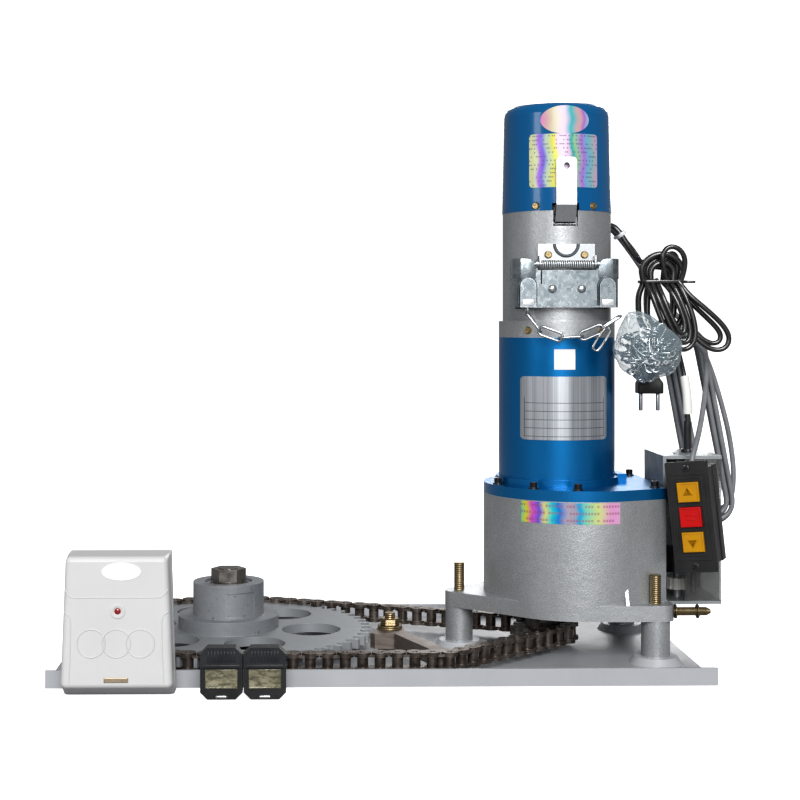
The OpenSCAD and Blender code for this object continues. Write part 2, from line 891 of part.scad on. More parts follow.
module cross_screw(r) {
    x_rod(small_screw_r, r - small_screw_l, r + small_head_h / 2);
    translate([r, 0, 0])
        rotate([0, 90, 0])
            difference() {
                cylinder(r1 = small_head_r, r2 = small_head_r * head_taper_share, h = small_head_h);
                translate([0, 0, small_head_h / 2])
                    linear_extrude(small_head_h)
                        union() {
                            square([cross_l, cross_w], center = true);
                            square([cross_w, cross_l], center = true);
                        }
            }
}

module brass_screws() {
    color("goldenrod") {
        at(motor_at)
            for (a = shield_screw_turns)
                rotate(a)
                    translate([0, 0, shield_screw_z])
                        cross_screw(tube_r);
        at(motor_at)
            for (a = cap_screw_turns)
                rotate(a)
                    translate([0, 0, cap_screw_z])
                        cross_screw(cap_r);
        for (side = [-1, 1])
            at(motor_at)
                translate([side * bracket_screw_x, -bracket_face, bracket_screw_z])
                    rotate(-90)
                        cross_screw(0);
    }
}

// Brake housing: silver sleeve with the lever's notch, the chain's side slots and the pivot's ears
brake_in_r = brake_r - brake_wall;
notch_low = brake_top - notch_h;
slot_rise = 12;
slot_h = 36;
slot_low = shield_top + slot_rise;
slot_high = slot_low + slot_h;
slot_x = 38;
slot_w = 15;
pivot_y = -41;
pivot_drop = 12;
lever_pivot = [pivot_y, brake_top - pivot_drop];
lever_pin_r = 2;
ear_t = 4;
ear_room = 1.5;
ear_x_in = lever_w / 2 + ear_room;
ear_run = 10;
ear_h = 12;
notch_run = 5;
screw_bore_walls = 4;
deck_t = 4;

module brake_housing() {
    color("silver")
    at(motor_at)
        difference() {
            union() {
                ring(brake_r, brake_in_r, shield_top, brake_top);
                intersection() {
                    rod(brake_in_r + over, shield_top, brake_top);
                    for (side = [-1, 1])
                        translate([side * (ear_x_in + ear_t / 2), (pivot_y - brake_r) / 2, lever_pivot[1]])
                            cube([ear_t, brake_r + lever_pivot[0] + ear_run, ear_h], center = true);
                }
            }
            block([-notch_w / 2, -brake_r - over, notch_low],
                [notch_w / 2, -brake_in_r + notch_run, brake_top + over]);
            for (side = [-1, 1])
                block([side * slot_x - slot_w / 2, -brake_r - over, slot_low],
                    [side * slot_x + slot_w / 2, 0, slot_high]);
            translate([0, lever_pivot[0], lever_pivot[1]])
                x_rod(lever_pin_r + seat_clear, -ear_x_in - ear_t - over, ear_x_in + ear_t + over);
            for (side = [-1, 1])
                translate([side * bracket_screw_x, -brake_r - over, bracket_screw_z])
                    rotate([-90, 0, 0])
                        cylinder(r = small_screw_r + seat_clear, h = brake_wall * screw_bore_walls);
        }
}

// Top cap with its own notch, over the brake housing's edge
cap_notch_h = 7;
cap_fn = 96;

function cap_r_at(z) = cap_r + (cap_top_r - cap_r) * (z - brake_top) / cap_h;

// Shares of the cap's rounding at which its outline turns: inwards and down from the top
cap_turn_shares = [[0.08, 0.6], [0.29, 0.29], [0.6, 0.08]];

module cap_shape(inset) {
    low = brake_top - (inset > 0 ? over : 0);
    side = cap_r_at(cap_top - cap_round) - inset;
    rotate_extrude($fn = cap_fn)
        polygon(concat([[0, low], [cap_r - inset, low], [side, cap_top - cap_round]],
            [for (t = cap_turn_shares) [side - cap_round * t[0], cap_top - cap_round * t[1] - inset * (1 - t[1])]],
            [[side - cap_round, cap_top - inset], [0, cap_top - inset]]));
}

module top_cap() {
    color("navy")
    at(motor_at)
        difference() {
            cap_shape(0);
            cap_shape(cap_wall);
            block([-notch_w / 2 - over, -cap_r - over, brake_top - over],
                [notch_w / 2 + over, 0, brake_top + cap_notch_h]);
            for (a = cap_screw_turns)
                rotate(a)
                    translate([0, 0, cap_screw_z])
                        x_rod(small_screw_r + seat_clear, cap_r - 2 * cap_wall - over, cap_r + over);
        }
}

// Brake: coil on its deck, armature plate, disc on the shaft
coil_r = 34;
coil_drop = 9;
coil_rise = 14;
coil_bore_h = 5;
pivot_room = 7;
coil_low = brake_top - coil_drop;
coil_high = brake_top + coil_rise;
disc_r = 27;
disc_drop = 24;
disc_t = 6;
disc_hub_wall = 4;
disc_hub_h = 8;
disc_low = brake_top - disc_drop;
armature_r = 35;
armature_rise = 6.5;
armature_low = disc_low + armature_rise;
armature_t = 4;
capacitor_r = 19;
capacitor_h = 62;

module brake_coil() {
    color("dimgray")
    at(motor_at) {
        difference() {
            union() {
                rod(coil_r, coil_low, coil_high);
                rod(brake_in_r - seat_clear, brake_top - deck_t, brake_top - gap);
            }
            rod(shaft_r + shaft_room, coil_low - over, coil_low + coil_bore_h);
            block([-notch_w, -brake_r, coil_low - over], [notch_w, pivot_y + pivot_room, brake_top]);
        }
    }
}

module armature_plate() {
    color("gray")
    at(motor_at)
        ring(armature_r, shaft_r + shaft_room, armature_low, armature_low + armature_t);
}

module brake_disc() {
    color("dimgray")
    at(motor_at)
        difference() {
            union() {
                rod(disc_r, disc_low, disc_low + disc_t);
                rod(shaft_r + disc_hub_wall, disc_low - disc_hub_h, disc_low + disc_t);
            }
            rod(shaft_r + seat_clear, disc_low - disc_hub_h - over, disc_low + disc_t + over);
        }
}

module capacitor() {
    color("white")
    at(motor_at)
        rod(capacitor_r, coil_high, coil_high + capacitor_h);
}

// Chain wheel of the hand chain, on the shaft
chain_wheel_r = 38;
groove_out = 1;
chain_wheel_rise = 20;
chain_wheel_low = shield_top + chain_wheel_rise;
groove_r = 6;
pockets = 6;
pocket_r = 7;
pocket_rise = 7;
pocket_h = 10;
chain_wheel_h = 24;

module chain_wheel() {
    color("gray")
    at(motor_at)
        difference() {
            rod(chain_wheel_r, chain_wheel_low, chain_wheel_low + chain_wheel_h);
            translate([0, 0, chain_wheel_low + chain_wheel_h / 2])
                rotate_extrude()
                    translate([chain_wheel_r + groove_out, 0])
                        circle(groove_r);
            for (i = [0 : pockets - 1])
                rotate(i * 360 / pockets)
                    translate([chain_wheel_r, 0, chain_wheel_low + pocket_rise])
                        cylinder(r = pocket_r, h = pocket_h);
            rod(shaft_r + seat_clear, shield_top, brake_top);
        }
}

// Release lever: strip in front of the cap, bent in through the notch, with a tongue under the armature
lever_room = 4.5;
lever_bend_rise = 6;
lever_face = cap_r + lever_room;
lever_bend_z = brake_top + lever_bend_rise;
lever_corner_r = 4;
lever_lap = 6;
lever_kick = 6;
lever_back = 8;
lever_back_rise = 4.5;
lever_half_t = 1;
lever_hole_drop = 8.5;
lever_barrel_wall = 2;
lever_barrel_r = lever_pin_r + lever_barrel_wall;
lever_hole_r = 3.2;
tongue_room = 3;
tongue_end = disc_r + tongue_room;

module release_lever() {
    color("silver")
    at(motor_at)
        difference() {
            union() {
                translate([0, -lever_face, (lever_bend_z + lever_top_z) / 2])
                    round_plate(lever_w, lever_top_z - lever_bend_z, lever_t, lever_corner_r);
                translate([-lever_w / 2, 0, 0])
                    rotate([90, 0, 90])
                        linear_extrude(lever_w)
                            polygon([[-lever_face, lever_bend_z + lever_lap],
                                [-lever_face, lever_bend_z - lever_half_t],
                                [-lever_face + lever_kick, lever_pivot[1] + lever_half_t],
                                [pivot_y, lever_pivot[1] - lever_half_t],
                                [pivot_y, lever_pivot[1] + 2 * lever_half_t],
                                [-lever_face + lever_back, lever_pivot[1] + lever_back_rise],
                                [-lever_face + lever_t, lever_bend_z],
                                [-lever_face + lever_t, lever_bend_z + lever_lap]]);
                translate([0, lever_pivot[0], lever_pivot[1]])
                    x_rod(lever_barrel_r, -lever_w / 2, lever_w / 2);
                block([-lever_w / 2, lever_pivot[0], armature_low - gap - lever_t],
                    [lever_w / 2, -tongue_end, armature_low - gap]);
            }
            translate([0, lever_pivot[0], lever_pivot[1]])
                x_rod(lever_pin_r + run_clear, -lever_w, lever_w);
            translate([0, -lever_face - over, lever_top_z - lever_hole_drop])
                rotate([-90, 0, 0])
                    cylinder(r = lever_hole_r, h = lever_t + 2 * over);
        }
}

// Guide bracket on the brake housing's face, with the spring's ears
bracket_low_drop = 48;
bracket_high_drop = 32.6;
bracket_screw_drop = 43;
bracket_notch_r = 11;
bracket_notch_rise = 1;
bracket_ear_lap = 4;
spring_drop = 52;
spring_out = 8;
bracket_low = brake_top - bracket_low_drop;
bracket_high = brake_top - bracket_high_drop;
bracket_t = 1.5;
bracket_face = brake_r + 2 * bracket_t;
bracket_screw_x = 17.4;
bracket_screw_z = brake_top - bracket_screw_drop;
spring_y = -(brake_r + spring_out);
spring_z = brake_top - spring_drop;
spring_pin_r = 1.6;
spring_r = 4.1;
spring_wire_r = 0.6;
bracket_ear_t = 1.6;
spring_ears = 3;
spring_l = bracket_w - spring_ears * bracket_ear_t;
pin_out = 3;
bracket_ear_r = 4.4;

module guide_bracket() {
    color("silver")
    at(motor_at)
        difference() {
            union() {
                block([-bracket_w / 2, -bracket_face + bracket_t, bracket_low],
                    [bracket_w / 2, -brake_r, bracket_high]);
                block([-bracket_w / 2, -bracket_face, bracket_low],
                    [bracket_w / 2, -bracket_face + bracket_t, bracket_high]);
                for (side = [-1, 1])
                    translate([side * (bracket_w / 2 - bracket_ear_t / 2), 0, 0]) {
                        translate([0, spring_y, spring_z])
                            x_rod(bracket_ear_r, -bracket_ear_t / 2, bracket_ear_t / 2);
                        block([-bracket_ear_t / 2, spring_y - bracket_ear_r, spring_z],
                            [bracket_ear_t / 2, -brake_r, bracket_low + bracket_ear_lap]);
                    }
            }
            translate([0, -bracket_face - over, bracket_high + bracket_notch_rise])
                rotate([-90, 0, 0])
                    cylinder(r = bracket_notch_r, h = bracket_t + over);
            translate([0, 0, spring_z])
                translate([0, spring_y, 0])
                    x_rod(spring_pin_r + seat_clear, -bracket_w, bracket_w);
            for (side = [-1, 1])
                translate([side * bracket_screw_x, -bracket_face - over, bracket_screw_z])
                    rotate([-90, 0, 0])
                        cylinder(r = small_screw_r + seat_clear, h = screw_bore_walls * bracket_t);
            at([0, 0])
                rod(brake_r, shield_top, brake_top);
        }
}

// Pins that the lever and the guard turn on
module pivot_pins() {
    color("silver")
    at(motor_at) {
        translate([0, lever_pivot[0], lever_pivot[1]])
            x_rod(lever_pin_r, -ear_x_in - ear_t, ear_x_in + ear_t);
        translate([0, spring_y, spring_z])
            x_rod(spring_pin_r, -guard_ear_x - pin_out, guard_ear_x + pin_out);
    }
}

// Chain guard: stamped flap that hangs on the spring's pin, with two arched tongues
guard_drop = 6;
guard_rise = 13;
guard_out = 7;
guard_ear_room = 1.2;
guard_ear_half_t = 0.8;
guard_ear_r = 4;
guard_side = 6;
guard_side_lap = 2;
guard_slit = [-25.5, -23.7];
guard_slit_rise = 22;
guard_top = spring_z - guard_drop;
guard_low = shield_top + guard_rise;
guard_face = brake_r + guard_out;
guard_ear_x = bracket_w / 2 + guard_ear_room;
guard_ear_mid = guard_ear_x + guard_ear_half_t;
tongue_w = 15;
tongue_d = 6;
tongue_in = 12;
tongue_lap = 0.2;
tongue_x = guard_w / 2 - tongue_in;
tongue_h = 28;
guard_side_y = -30;
dimple_r = 3.2;
dimple_x = 14;
dimple_out = 1.6;

module guard_tongue(side) {
    translate([side * tongue_x, -guard_face - tongue_d, guard_low])
        round_box(tongue_w, tongue_d + tongue_lap, tongue_h);
}

// A box with a round top, open at its lower end
module round_box(w, d, h) {
    difference() {
        union() {
            translate([-w / 2, 0, 0])
                cube([w, d, h - w / 2]);
            translate([0, 0, h - w / 2])
                rotate([-90, 0, 0])
                    cylinder(r = w / 2, h = d);
        }
        translate([-w / 2 + guard_t, guard_t, -over])
            cube([w - 2 * guard_t, d, h - w / 2 + over]);
        translate([0, guard_t, h - w / 2])
            rotate([-90, 0, 0])
                cylinder(r = w / 2 - guard_t, h = d);
    }
}

module chain_guard() {
    color("silver")
    at(motor_at)
        difference() {
            union() {
                block([-guard_w / 2 + guard_side, -guard_face, guard_low],
                    [guard_w / 2 - guard_side, -guard_face + guard_t, guard_top]);
                for (side = [-1, 1]) {
                    translate([side * (guard_w / 2 - guard_side), 0, guard_low])
                        linear_extrude(guard_top - guard_low + guard_side_lap)
                            polygon([[0, -guard_face], [side * guard_side, -guard_face + guard_side],
                                [side * guard_side, guard_side_y],
                                [side * (guard_side - guard_t), guard_side_y],
                                [side * (guard_side - guard_t), -guard_face + guard_side + guard_t / 2],
                                [-side * guard_t / 2, -guard_face + guard_t]]);
                    guard_tongue(side);
                    block([side * guard_ear_mid - guard_ear_half_t, -guard_face, guard_top - guard_ear_r],
                        [side * guard_ear_mid + guard_ear_half_t, spring_y + guard_ear_r, spring_z]);
                    translate([side * guard_ear_mid, spring_y, spring_z])
                        x_rod(guard_ear_r, -guard_ear_half_t, guard_ear_half_t);
                }
                for (x = [-dimple_x, dimple_x])
                    translate([x, -guard_face + guard_t / 2, (guard_top + guard_low) / 2])
                        rotate([90, 0, 0])
                            cylinder(r1 = dimple_r, r2 = dimple_r / 2, h = guard_t / 2 + dimple_out);
            }
            for (side = [-1, 1])
                translate([side * tongue_x - tongue_w / 2 + guard_t, -guard_face - over, guard_low - over])
                    cube([tongue_w - 2 * guard_t, guard_t + 2 * over, tongue_h - tongue_w / 2]);
            translate([0, spring_y, spring_z])
                x_rod(spring_pin_r + run_clear, -guard_w, guard_w);
            block([guard_slit[0], -guard_face - over, guard_low + guard_slit_rise],
                [guard_slit[1], -guard_face + guard_t + over, guard_top + over]);
        }
}

// Nameplate on the motor tube
nameplate_w = 84;
nameplate_h = 61;
nameplate_z = 242;
nameplate_t = 0.5;
nameplate_corner_r = 4;
nameplate_r = tube_r + gap / 2;

module nameplate() {
    color("silver")
    at(motor_at)
        intersection() {
            ring(nameplate_r + nameplate_t, nameplate_r, nameplate_z - nameplate_h,
                nameplate_z + nameplate_h);
            translate([0, 0, nameplate_z])
                rotate([90, 0, 0])
                    linear_extrude(2 * tube_r)
                        round_square(nameplate_w, nameplate_h, nameplate_corner_r);
        }
}

// Limit box beside the gear housing
limit_x = flange_x + seat_clear;
limit_end = limit_x + limit_l;
screw_in = 20;
screw_y = -14;
screw_at = [limit_x + screw_in, screw_y];
screw_proud = 1;
screw_rod_r = 4;
wheel_r = 9;
wheel_h = 11;
wheel_low_z = 62;
wheel_high_z = 132;
cover_in = 21;
cover_x = limit_x + cover_in;
clear_t = 1.6;
clear_tint = [0.85, 0.85, 0.88, 0.5];

module limit_bracket() {
    color("lightgray") {
        difference() {
            union() {
                block([limit_x, -limit_w / 2, limit_z], [limit_x + limit_t, limit_w / 2, limit_top_z]);
                block([limit_x, -limit_w / 2, limit_top_z - limit_t], [limit_end, limit_w / 2, limit_top_z]);
                block([limit_x, -limit_w / 2, limit_z], [limit_end, limit_w / 2, limit_z + limit_t]);
                block([limit_x, limit_w / 2 - limit_t, limit_z], [limit_end, limit_w / 2, limit_top_z]);
            }
            at(screw_at)
                rod(screw_rod_r + seat_clear, 0, limit_top_z + over);
        }
        at(screw_at)
            rod(screw_rod_r, limit_z, limit_top_z + screw_proud);
    }
}

module limit_cover() {
    color(clear_tint)
    difference() {
        block([cover_x, -limit_w / 2, limit_z + limit_t],
            [limit_end, limit_w / 2 - limit_t, limit_top_z - limit_t]);
        block([cover_x - over, -limit_w / 2 + clear_t, limit_z + limit_t - over],
            [limit_end - clear_t, limit_w / 2, limit_top_z]);
    }
}

switch_size = [20, 10, 26];
switch_rise = 12;
switch_y = 8;
wheel_ribs = 12;
wheel_rib_r = 1.2;
wheel_rib_in = 0.4;

module limit_switches() {
    color("black")
    for (z = [wheel_low_z + switch_rise, wheel_high_z + switch_rise])
        translate([limit_x + limit_t, switch_y, z])
            cube(switch_size);
}

module limit_wheel(z) {
    color("white")
    at(screw_at)
        difference() {
            union() {
                rod(wheel_r, z, z + wheel_h);
                for (i = [0 : wheel_ribs - 1])
                    rotate(i * 360 / wheel_ribs)
                        translate([wheel_r - wheel_rib_in, 0])
                            rod(wheel_rib_r, z, z + wheel_h);
            }
            rod(screw_rod_r + run_clear, z - over, z + wheel_h + over);
        }
}

module limit_wheel_upper() {
    limit_wheel(wheel_high_z);
}

module limit_wheel_lower() {
    limit_wheel(wheel_low_z);
}

// Earth bolt on the flange's end
earth_in = 10;
earth_y = earth_in - gear_r;
earth_z = 52;
earth_r = 4;
earth_end = 313;
earth_tip_h = 4;
earth_nut_in = 13;
earth_nut_wall = 2.6;
earth_nut_lap = 0.5;
earth_nut_t = 1.5;
earth_head_in = 1;

module earth_bolt() {
    color("goldenrod")
    translate([0, earth_y, earth_z]) {
        x_rod(earth_r, flange_x, earth_end - earth_tip_h);
        translate([earth_end - earth_tip_h, 0, 0])
            rotate([0, 90, 0])
                cylinder(r1 = earth_r, r2 = earth_r / 2, h = earth_tip_h);
        for (x = [flange_x + earth_head_in, earth_end - earth_nut_in])
            translate([x, 0, 0])
                rotate([0, 90, 0])
                    ring(earth_r + earth_nut_wall, earth_r - earth_nut_lap, 0, earth_nut_t);
    }
}

// Push button station, leaning on the limit box
station_x = 294;
station_out = 45.85;
station_z = 142;
station_at = [station_x, -limit_w / 2 - station_out, station_z];
station_edge = 1.6;
button_step = 23.4;
button_z = [button_step, 0, -button_step];
button_proud = 2.5;
case_side_in = 2;
case_end_in = 7;
station_screw_in = 6;
station_head_h = 1;
case_w = station_w - 2 * case_side_in;
case_h = station_h - 2 * case_end_in;
case_wall = 2;
faceplate_t = 3;
button_clear = 0.4;
button_guide = 9;
button_depth = button_travel + button_guide;
station_screw_r = 1.6;

module in_station() {
    translate(station_at)
        rotate(-station_turn)
            rotate([0, -station_lean, 0])
                children();
}

module station_case() {
    color("black")
    in_station()
        difference() {
            translate([-case_w / 2, 0, -case_h / 2])
                cube([case_w, station_d, case_h]);
            translate([-case_w / 2 + case_wall, -over, -case_h / 2 + case_wall])
                cube([case_w - 2 * case_wall, station_d - case_wall + over, case_h - 2 * case_wall]);
        }
}

module station_plate() {
    color("black")
    in_station() {
        difference() {
            translate([0, -faceplate_t, 0])
                round_plate(station_w, station_h, faceplate_t, station_edge);
            for (z = button_z)
                translate([0, -faceplate_t / 2, z])
                    cube([button_w + 2 * button_clear, faceplate_t + 2 * over, button_h + 2 * button_clear],
                        center = true);
            for (side = [-1, 1])
                translate([0, over, side * (station_h / 2 - station_screw_in)])
                    rotate([90, 0, 0])
                        cylinder(r = station_screw_r + seat_clear, h = faceplate_t + 2 * over);
        }
        for (side = [-1, 1])
            translate([0, 0, side * (station_h / 2 - station_screw_in)])
                rotate([90, 0, 0]) {
                    translate([0, 0, faceplate_t])
                        cylinder(r = 2 * station_screw_r, h = station_head_h);
                    cylinder(r = station_screw_r, h = faceplate_t);
                }
    }
}

module push_button(z) {
    in_station()
        translate([-button_w / 2, -faceplate_t - button_proud, z - button_h / 2])
            cube([button_w, button_depth, button_h]);
}

module button_up() {
    color("gold")
    push_button(button_z[0]);
}

module button_stop() {
    color("red")
    push_button(button_z[1]);
}

module button_down() {
    color("gold")
    push_button(button_z[2]);
}

// Pawl: stacked layers with an arm whose end lies against the chain
pawl_r = 13;
pawl_bar_w = 14;
pawl_stop_gap = 3.4;
pawl_nose = 50;
// Points of the nose as shares of its size
pawl_nose_shares = [[-0.44, -0.4], [-0.2, -0.06], [0.12, 0.2], [0.28, 0], [0.24, -0.4], [0.04, -0.54],
    [-0.32, -0.54]];

// Half width of the arm's end as a share of the end's radius
pawl_end_share = 0.8;

module pawl_outline() {
    arm = pawl_end - pawl_pivot;
    side = [-arm[1], arm[0]] / norm(arm);
    difference() {
        union() {
            translate(pawl_pivot)
                polygon(pawl_nose * pawl_nose_shares);
            translate(pawl_pivot)
                circle(pawl_r);
        }
        translate(drum_at)
            circle(drum_tip_r + pawl_stop_gap);
    }
    translate(pawl_pivot)
        polygon([side * pawl_bar_w / 2, arm + side * pawl_end_r * pawl_end_share,
            arm - side * pawl_end_r * pawl_end_share, -side * pawl_bar_w / 2]);
}

module pawl_arm() {
    color("saddlebrown")
    difference() {
        union() {
            translate([0, 0, pawl_low])
                linear_extrude(pawl_high - pawl_low)
                    pawl_outline();
            at(pawl_end)
                rod(pawl_end_r, pawl_low, pawl_high);
        }
        at(pawl_pivot)
            rod(pawl_bolt_r + run_clear, 0, pawl_bolt_top);
    }
}

// Roller chain: outer links with their pins, inner links with their bored rollers
pin_end = 0.6;
pin_run = 0.06;
link_waist_share = 0.72;
link_fn = 24;

module link_plate(length, z, bore) {
    translate([0, 0, z])
        difference() {
            union() {
                for (x = [0, length])
                    translate([x, 0, 0])
                        cylinder(r = link_h / 2, h = link_t, $fn = link_fn);
                translate([0, -link_h * link_waist_share / 2, 0])
                    cube([length, link_h * link_waist_share, link_t]);
            }
            if (bore > 0)
                for (x = [0, length])
                    translate([x, 0, -over])
                        cylinder(r = bore, h = link_t + 2 * over, $fn = link_fn);
        }
}

module outer_link(length) {
    side = chain_gap / 2 + link_t + pin_run;
    link_plate(length, side, 0);
    link_plate(length, -side - link_t, 0);
    for (x = [0, length])
        translate([x, 0, -side - link_t - pin_end])
            cylinder(r = chain_pin_r, h = 2 * (side + link_t + pin_end), $fn = link_fn);
}

module inner_link(length) {
    link_plate(length, chain_gap / 2, chain_pin_r + pin_run);
    link_plate(length, -chain_gap / 2 - link_t, chain_pin_r + pin_run);
    for (x = [0, length])
        translate([x, 0, 0])
            difference() {
                translate([0, 0, -chain_gap / 2])
                    cylinder(r = roller_r, h = chain_gap, $fn = link_fn);
                translate([0, 0, -chain_gap])
                    cylinder(r = chain_pin_r + pin_run, h = 2 * chain_gap, $fn = link_fn);
            }
}

module drive_chain() {
    color("saddlebrown")
    for (i = [0 : len(chain_pins) - 1]) {
        next = chain_pins[(i + 1) % len(chain_pins)];
        at(chain_pins[i], chain_z)
            rotate(angle_of(next - chain_pins[i]))
                if (i % 2 == 0)
                    outer_link(norm(next - chain_pins[i]));
                else
                    inner_link(norm(next - chain_pins[i]));
    }
}

// Receiver and remotes, which stand in front of the plate
receiver_x = -231.7;
receiver_out = 37;
receiver_taper = 8;
receiver_at = [receiver_x, -plate_w / 2 - receiver_out, 0];
receiver_top_w = receiver_w - receiver_taper;
receiver_back_d = 10;
receiver_bevel = 14;
receiver_round = 5;

module receiver_outline(h, low, inset) {
    polygon([[-receiver_w / 2 + inset, low], [receiver_w / 2 - inset, low],
        [receiver_top_w / 2 - inset, h], [-receiver_top_w / 2 + inset, h]]);
}

module receiver_case() {
    color("white")
    translate(receiver_at) {
        difference() {
            hull() {
                for (side = [-1, 1]) {
                    translate([side * (receiver_w / 2 - receiver_round), 0, receiver_bevel])
                        sphere(receiver_round, $fn = round_fn);
                    translate([side * (receiver_top_w / 2 - receiver_round), 0, receiver_h - receiver_round])
                        sphere(receiver_round, $fn = round_fn);
                    translate([side * (receiver_w / 2 - receiver_round),
                        receiver_d - receiver_back_d - receiver_round, 0])
                        cylinder(r = receiver_round, h = receiver_round, $fn = round_fn);
                    translate([side * (receiver_top_w / 2 - receiver_round),
                        receiver_d - receiver_back_d - receiver_round, receiver_h - receiver_round])
                        cylinder(r = receiver_round, h = receiver_round, $fn = round_fn);
                }
            }
            translate([0, receiver_d, 0])
                rotate([90, 0, 0])
                    linear_extrude(receiver_d)
                        receiver_outline(receiver_h - 2 * receiver_round, receiver_bevel,
                            2 * receiver_round);
        }
        difference() {
            translate([0, receiver_d, 0])
                rotate([90, 0, 0])
                    linear_extrude(receiver_back_d)
                        receiver_outline(receiver_h, 0, 0);
            translate([0, receiver_d - plate_t, 0])
                rotate([90, 0, 0])
                    linear_extrude(receiver_back_d)
                        receiver_outline(receiver_h - 2 * receiver_round, receiver_bevel,
                            2 * receiver_round);
        }
    }
}

remote_out = 42;
remote_y = -plate_w / 2 - remote_out;
remote_left_x = -141.5;
remote_right_x = -104;
remote_cover_h = 18;
remote_shelf = 6;
remote_chamfer = 6;
remote_cover_proud = 2;

module remote_case(x) {
    color("black")
    translate([x, remote_y, 0])
        difference() {
            translate([0, remote_d, 0])
                rotate([90, 0, 0])
                    linear_extrude(remote_d)
                        polygon([[-remote_w / 2 + remote_chamfer, 0], [remote_w / 2 - remote_chamfer, 0],
                            [remote_w / 2, remote_chamfer], [remote_w / 2, remote_h - remote_chamfer],
                            [remote_w / 2 - remote_chamfer, remote_h],
                            [-remote_w / 2 + remote_chamfer, remote_h],
                            [-remote_w / 2, remote_h - remote_chamfer], [-remote_w / 2, remote_chamfer]]);
            block([-remote_w, -over, remote_h - remote_cover_h], [remote_w, remote_shelf, remote_h + over]);
        }
}

module remote_cover(x) {
    color("black")
    translate([x, remote_y, 0])
        translate([0, remote_shelf - gap, 0])
            rotate([90, 0, 0])
                linear_extrude(remote_shelf - gap + remote_cover_proud)
                    polygon([[-remote_w / 2, remote_h - remote_cover_h + gap],
                        [remote_w / 2, remote_h - remote_cover_h + gap],
                        [remote_w / 2, remote_h - remote_chamfer], [remote_w / 2 - remote_chamfer, remote_h],
                        [-remote_w / 2 + remote_chamfer, remote_h],
                        [-remote_w / 2, remote_h - remote_chamfer]]);
}

module remote_case_left() {
    remote_case(remote_left_x);
}

module remote_cover_left() {
    remote_cover(remote_left_x);
}

module remote_case_right() {
    remote_case(remote_right_x);
}

module remote_cover_right() {
    remote_cover(remote_right_x);
}

// Tubes swept along points: cross sections stand square to the run
function unit(v) = v / norm(v);

function run_dir(p, i) = unit(p[min(i + 1, len(p) - 1)] - p[max(i - 1, 0)]);

function side_of(d, prev) = unit(prev - (prev * d) * d);

function carried(p, first) = [for (i = 0, s = side_of(run_dir(p, 0), first); i < len(p);
    i = i + 1, s = i < len(p) ? side_of(run_dir(p, i), s) : s) s];

function rings(p, r, sides, first) =
    let (s = carried(p, first))
    [for (i = [0 : len(p) - 1])
        let (d = run_dir(p, i), u = s[i], v = cross(d, u))
        each [for (k = [0 : sides - 1]) p[i] + r * (cos(k * 360 / sides) * u + sin(k * 360 / sides) * v)]];

module tube(p, r, sides, first = [0, 0, 1]) {
    n = len(p);
    polyhedron(rings(p, r, sides, first), concat(
        [for (k = [1 : sides - 2]) [0, k + 1, k]],
        [for (k = [1 : sides - 2]) [(n - 1) * sides, (n - 1) * sides + k, (n - 1) * sides + k + 1]],
        [for (i = [0 : n - 2], k = [0 : sides - 1])
            let (a = i * sides + k, b = i * sides + (k + 1) % sides)
            each [[a, b, a + sides], [b, b + sides, a + sides]]]));
}

// A smooth run through points: four neighbours' shares at place t between the middle two
function spline_at(a, b, c, d, t) = ((2 * b) + (c - a) * t + (2 * a - 5 * b + 4 * c - d) * t * t
    + (3 * b - a - 3 * c + d) * t * t * t) / 2;

function smooth(p, steps) = concat(
    [for (i = [0 : len(p) - 2], j = [0 : steps - 1])
        spline_at(p[max(i - 1, 0)], p[i], p[i + 1], p[min(i + 2, len(p) - 1)], j / steps)],
    [p[len(p) - 1]]);

// Cords: radii, and the routes of their free stretches
power_r = 3;
limit_r = 2.5;
cord_r = 2.6;
power_to_hank = [[235.3, 13.4, 422], [237.6, 14.24, 422], [241, 15.5, 422], [248, 13, 413], [258, 12, 397],
    [266, 14.5, 387], [273, 15.5, 383], [281, 12.5, 380.5], [286.3, 9.08, 380.1]];
power_to_plug = [[286.6, 0.28, 323.9], [281, -3.4, 323.5], [274.5, -7, 319.5], [272, -7.5, 313],
    [272, -7.5, 306.2]];
limit_route = [[233.3, 19.1, 422], [235.6, 19.9, 422], [239.4, 21.2, 422], [249, 21.5, 413],
    [268, 24, 390], [290, 27, 350],
    [307, 22, 300], [312, 3, 255], [312, 0, 215], [312, 0, 203], [312, 0, 195.2]];
control_to_hank = [[231.3, 24.8, 422], [233.6, 25.6, 422], [236.8, 26.7, 422], [248, 30, 413],
    [268, 46, 392], [292, 60, 362],
    [312, 66, 338], [330, 68, 318], [350, 66, 285], [368, 64, 225], [376, 64, 180], [376, 64, 150],
    [372, 64.5, 138], [366, 63, 132], [360.5, 60.2, 130.2], [356.8, 57.45, 129.8]];
control_to_station = [[322.9, 48.4, 306.4], [324.5, 46.8, 306.2], [330, 42.5, 304.5], [336, 36, 298],
    [337, 24, 287], [331, 2, 262],
    [318, -30, 230], [306, -55, 207], [299.6, -62.9, 193.6], [299.96, -63.07, 189.9],
    [300.24, -63.21, 186.9]];

// Rings of each loop of a hank
hank_rings = 24;

// A hank's loops: round ends and straight runs that spiral out in one layer and in again in the next
function stadium(f, w, h) =
    f < 1 / 6 ? [w * cos(270 - f * 540), -(h - w) + w * sin(270 - f * 540)]
    : f < 1 / 3 ? [-w, (h - w) * (12 * (f - 1 / 6) - 1)]
    : f < 2 / 3 ? [w * cos(180 - (f - 1 / 3) * 540), h - w + w * sin(180 - (f - 1 / 3) * 540)]
    : f < 5 / 6 ? [w, (h - w) * (1 - 12 * (f - 2 / 3))]
    : [w * cos((5 / 6 - f) * 540), -(h - w) + w * sin((5 / 6 - f) * 540)];

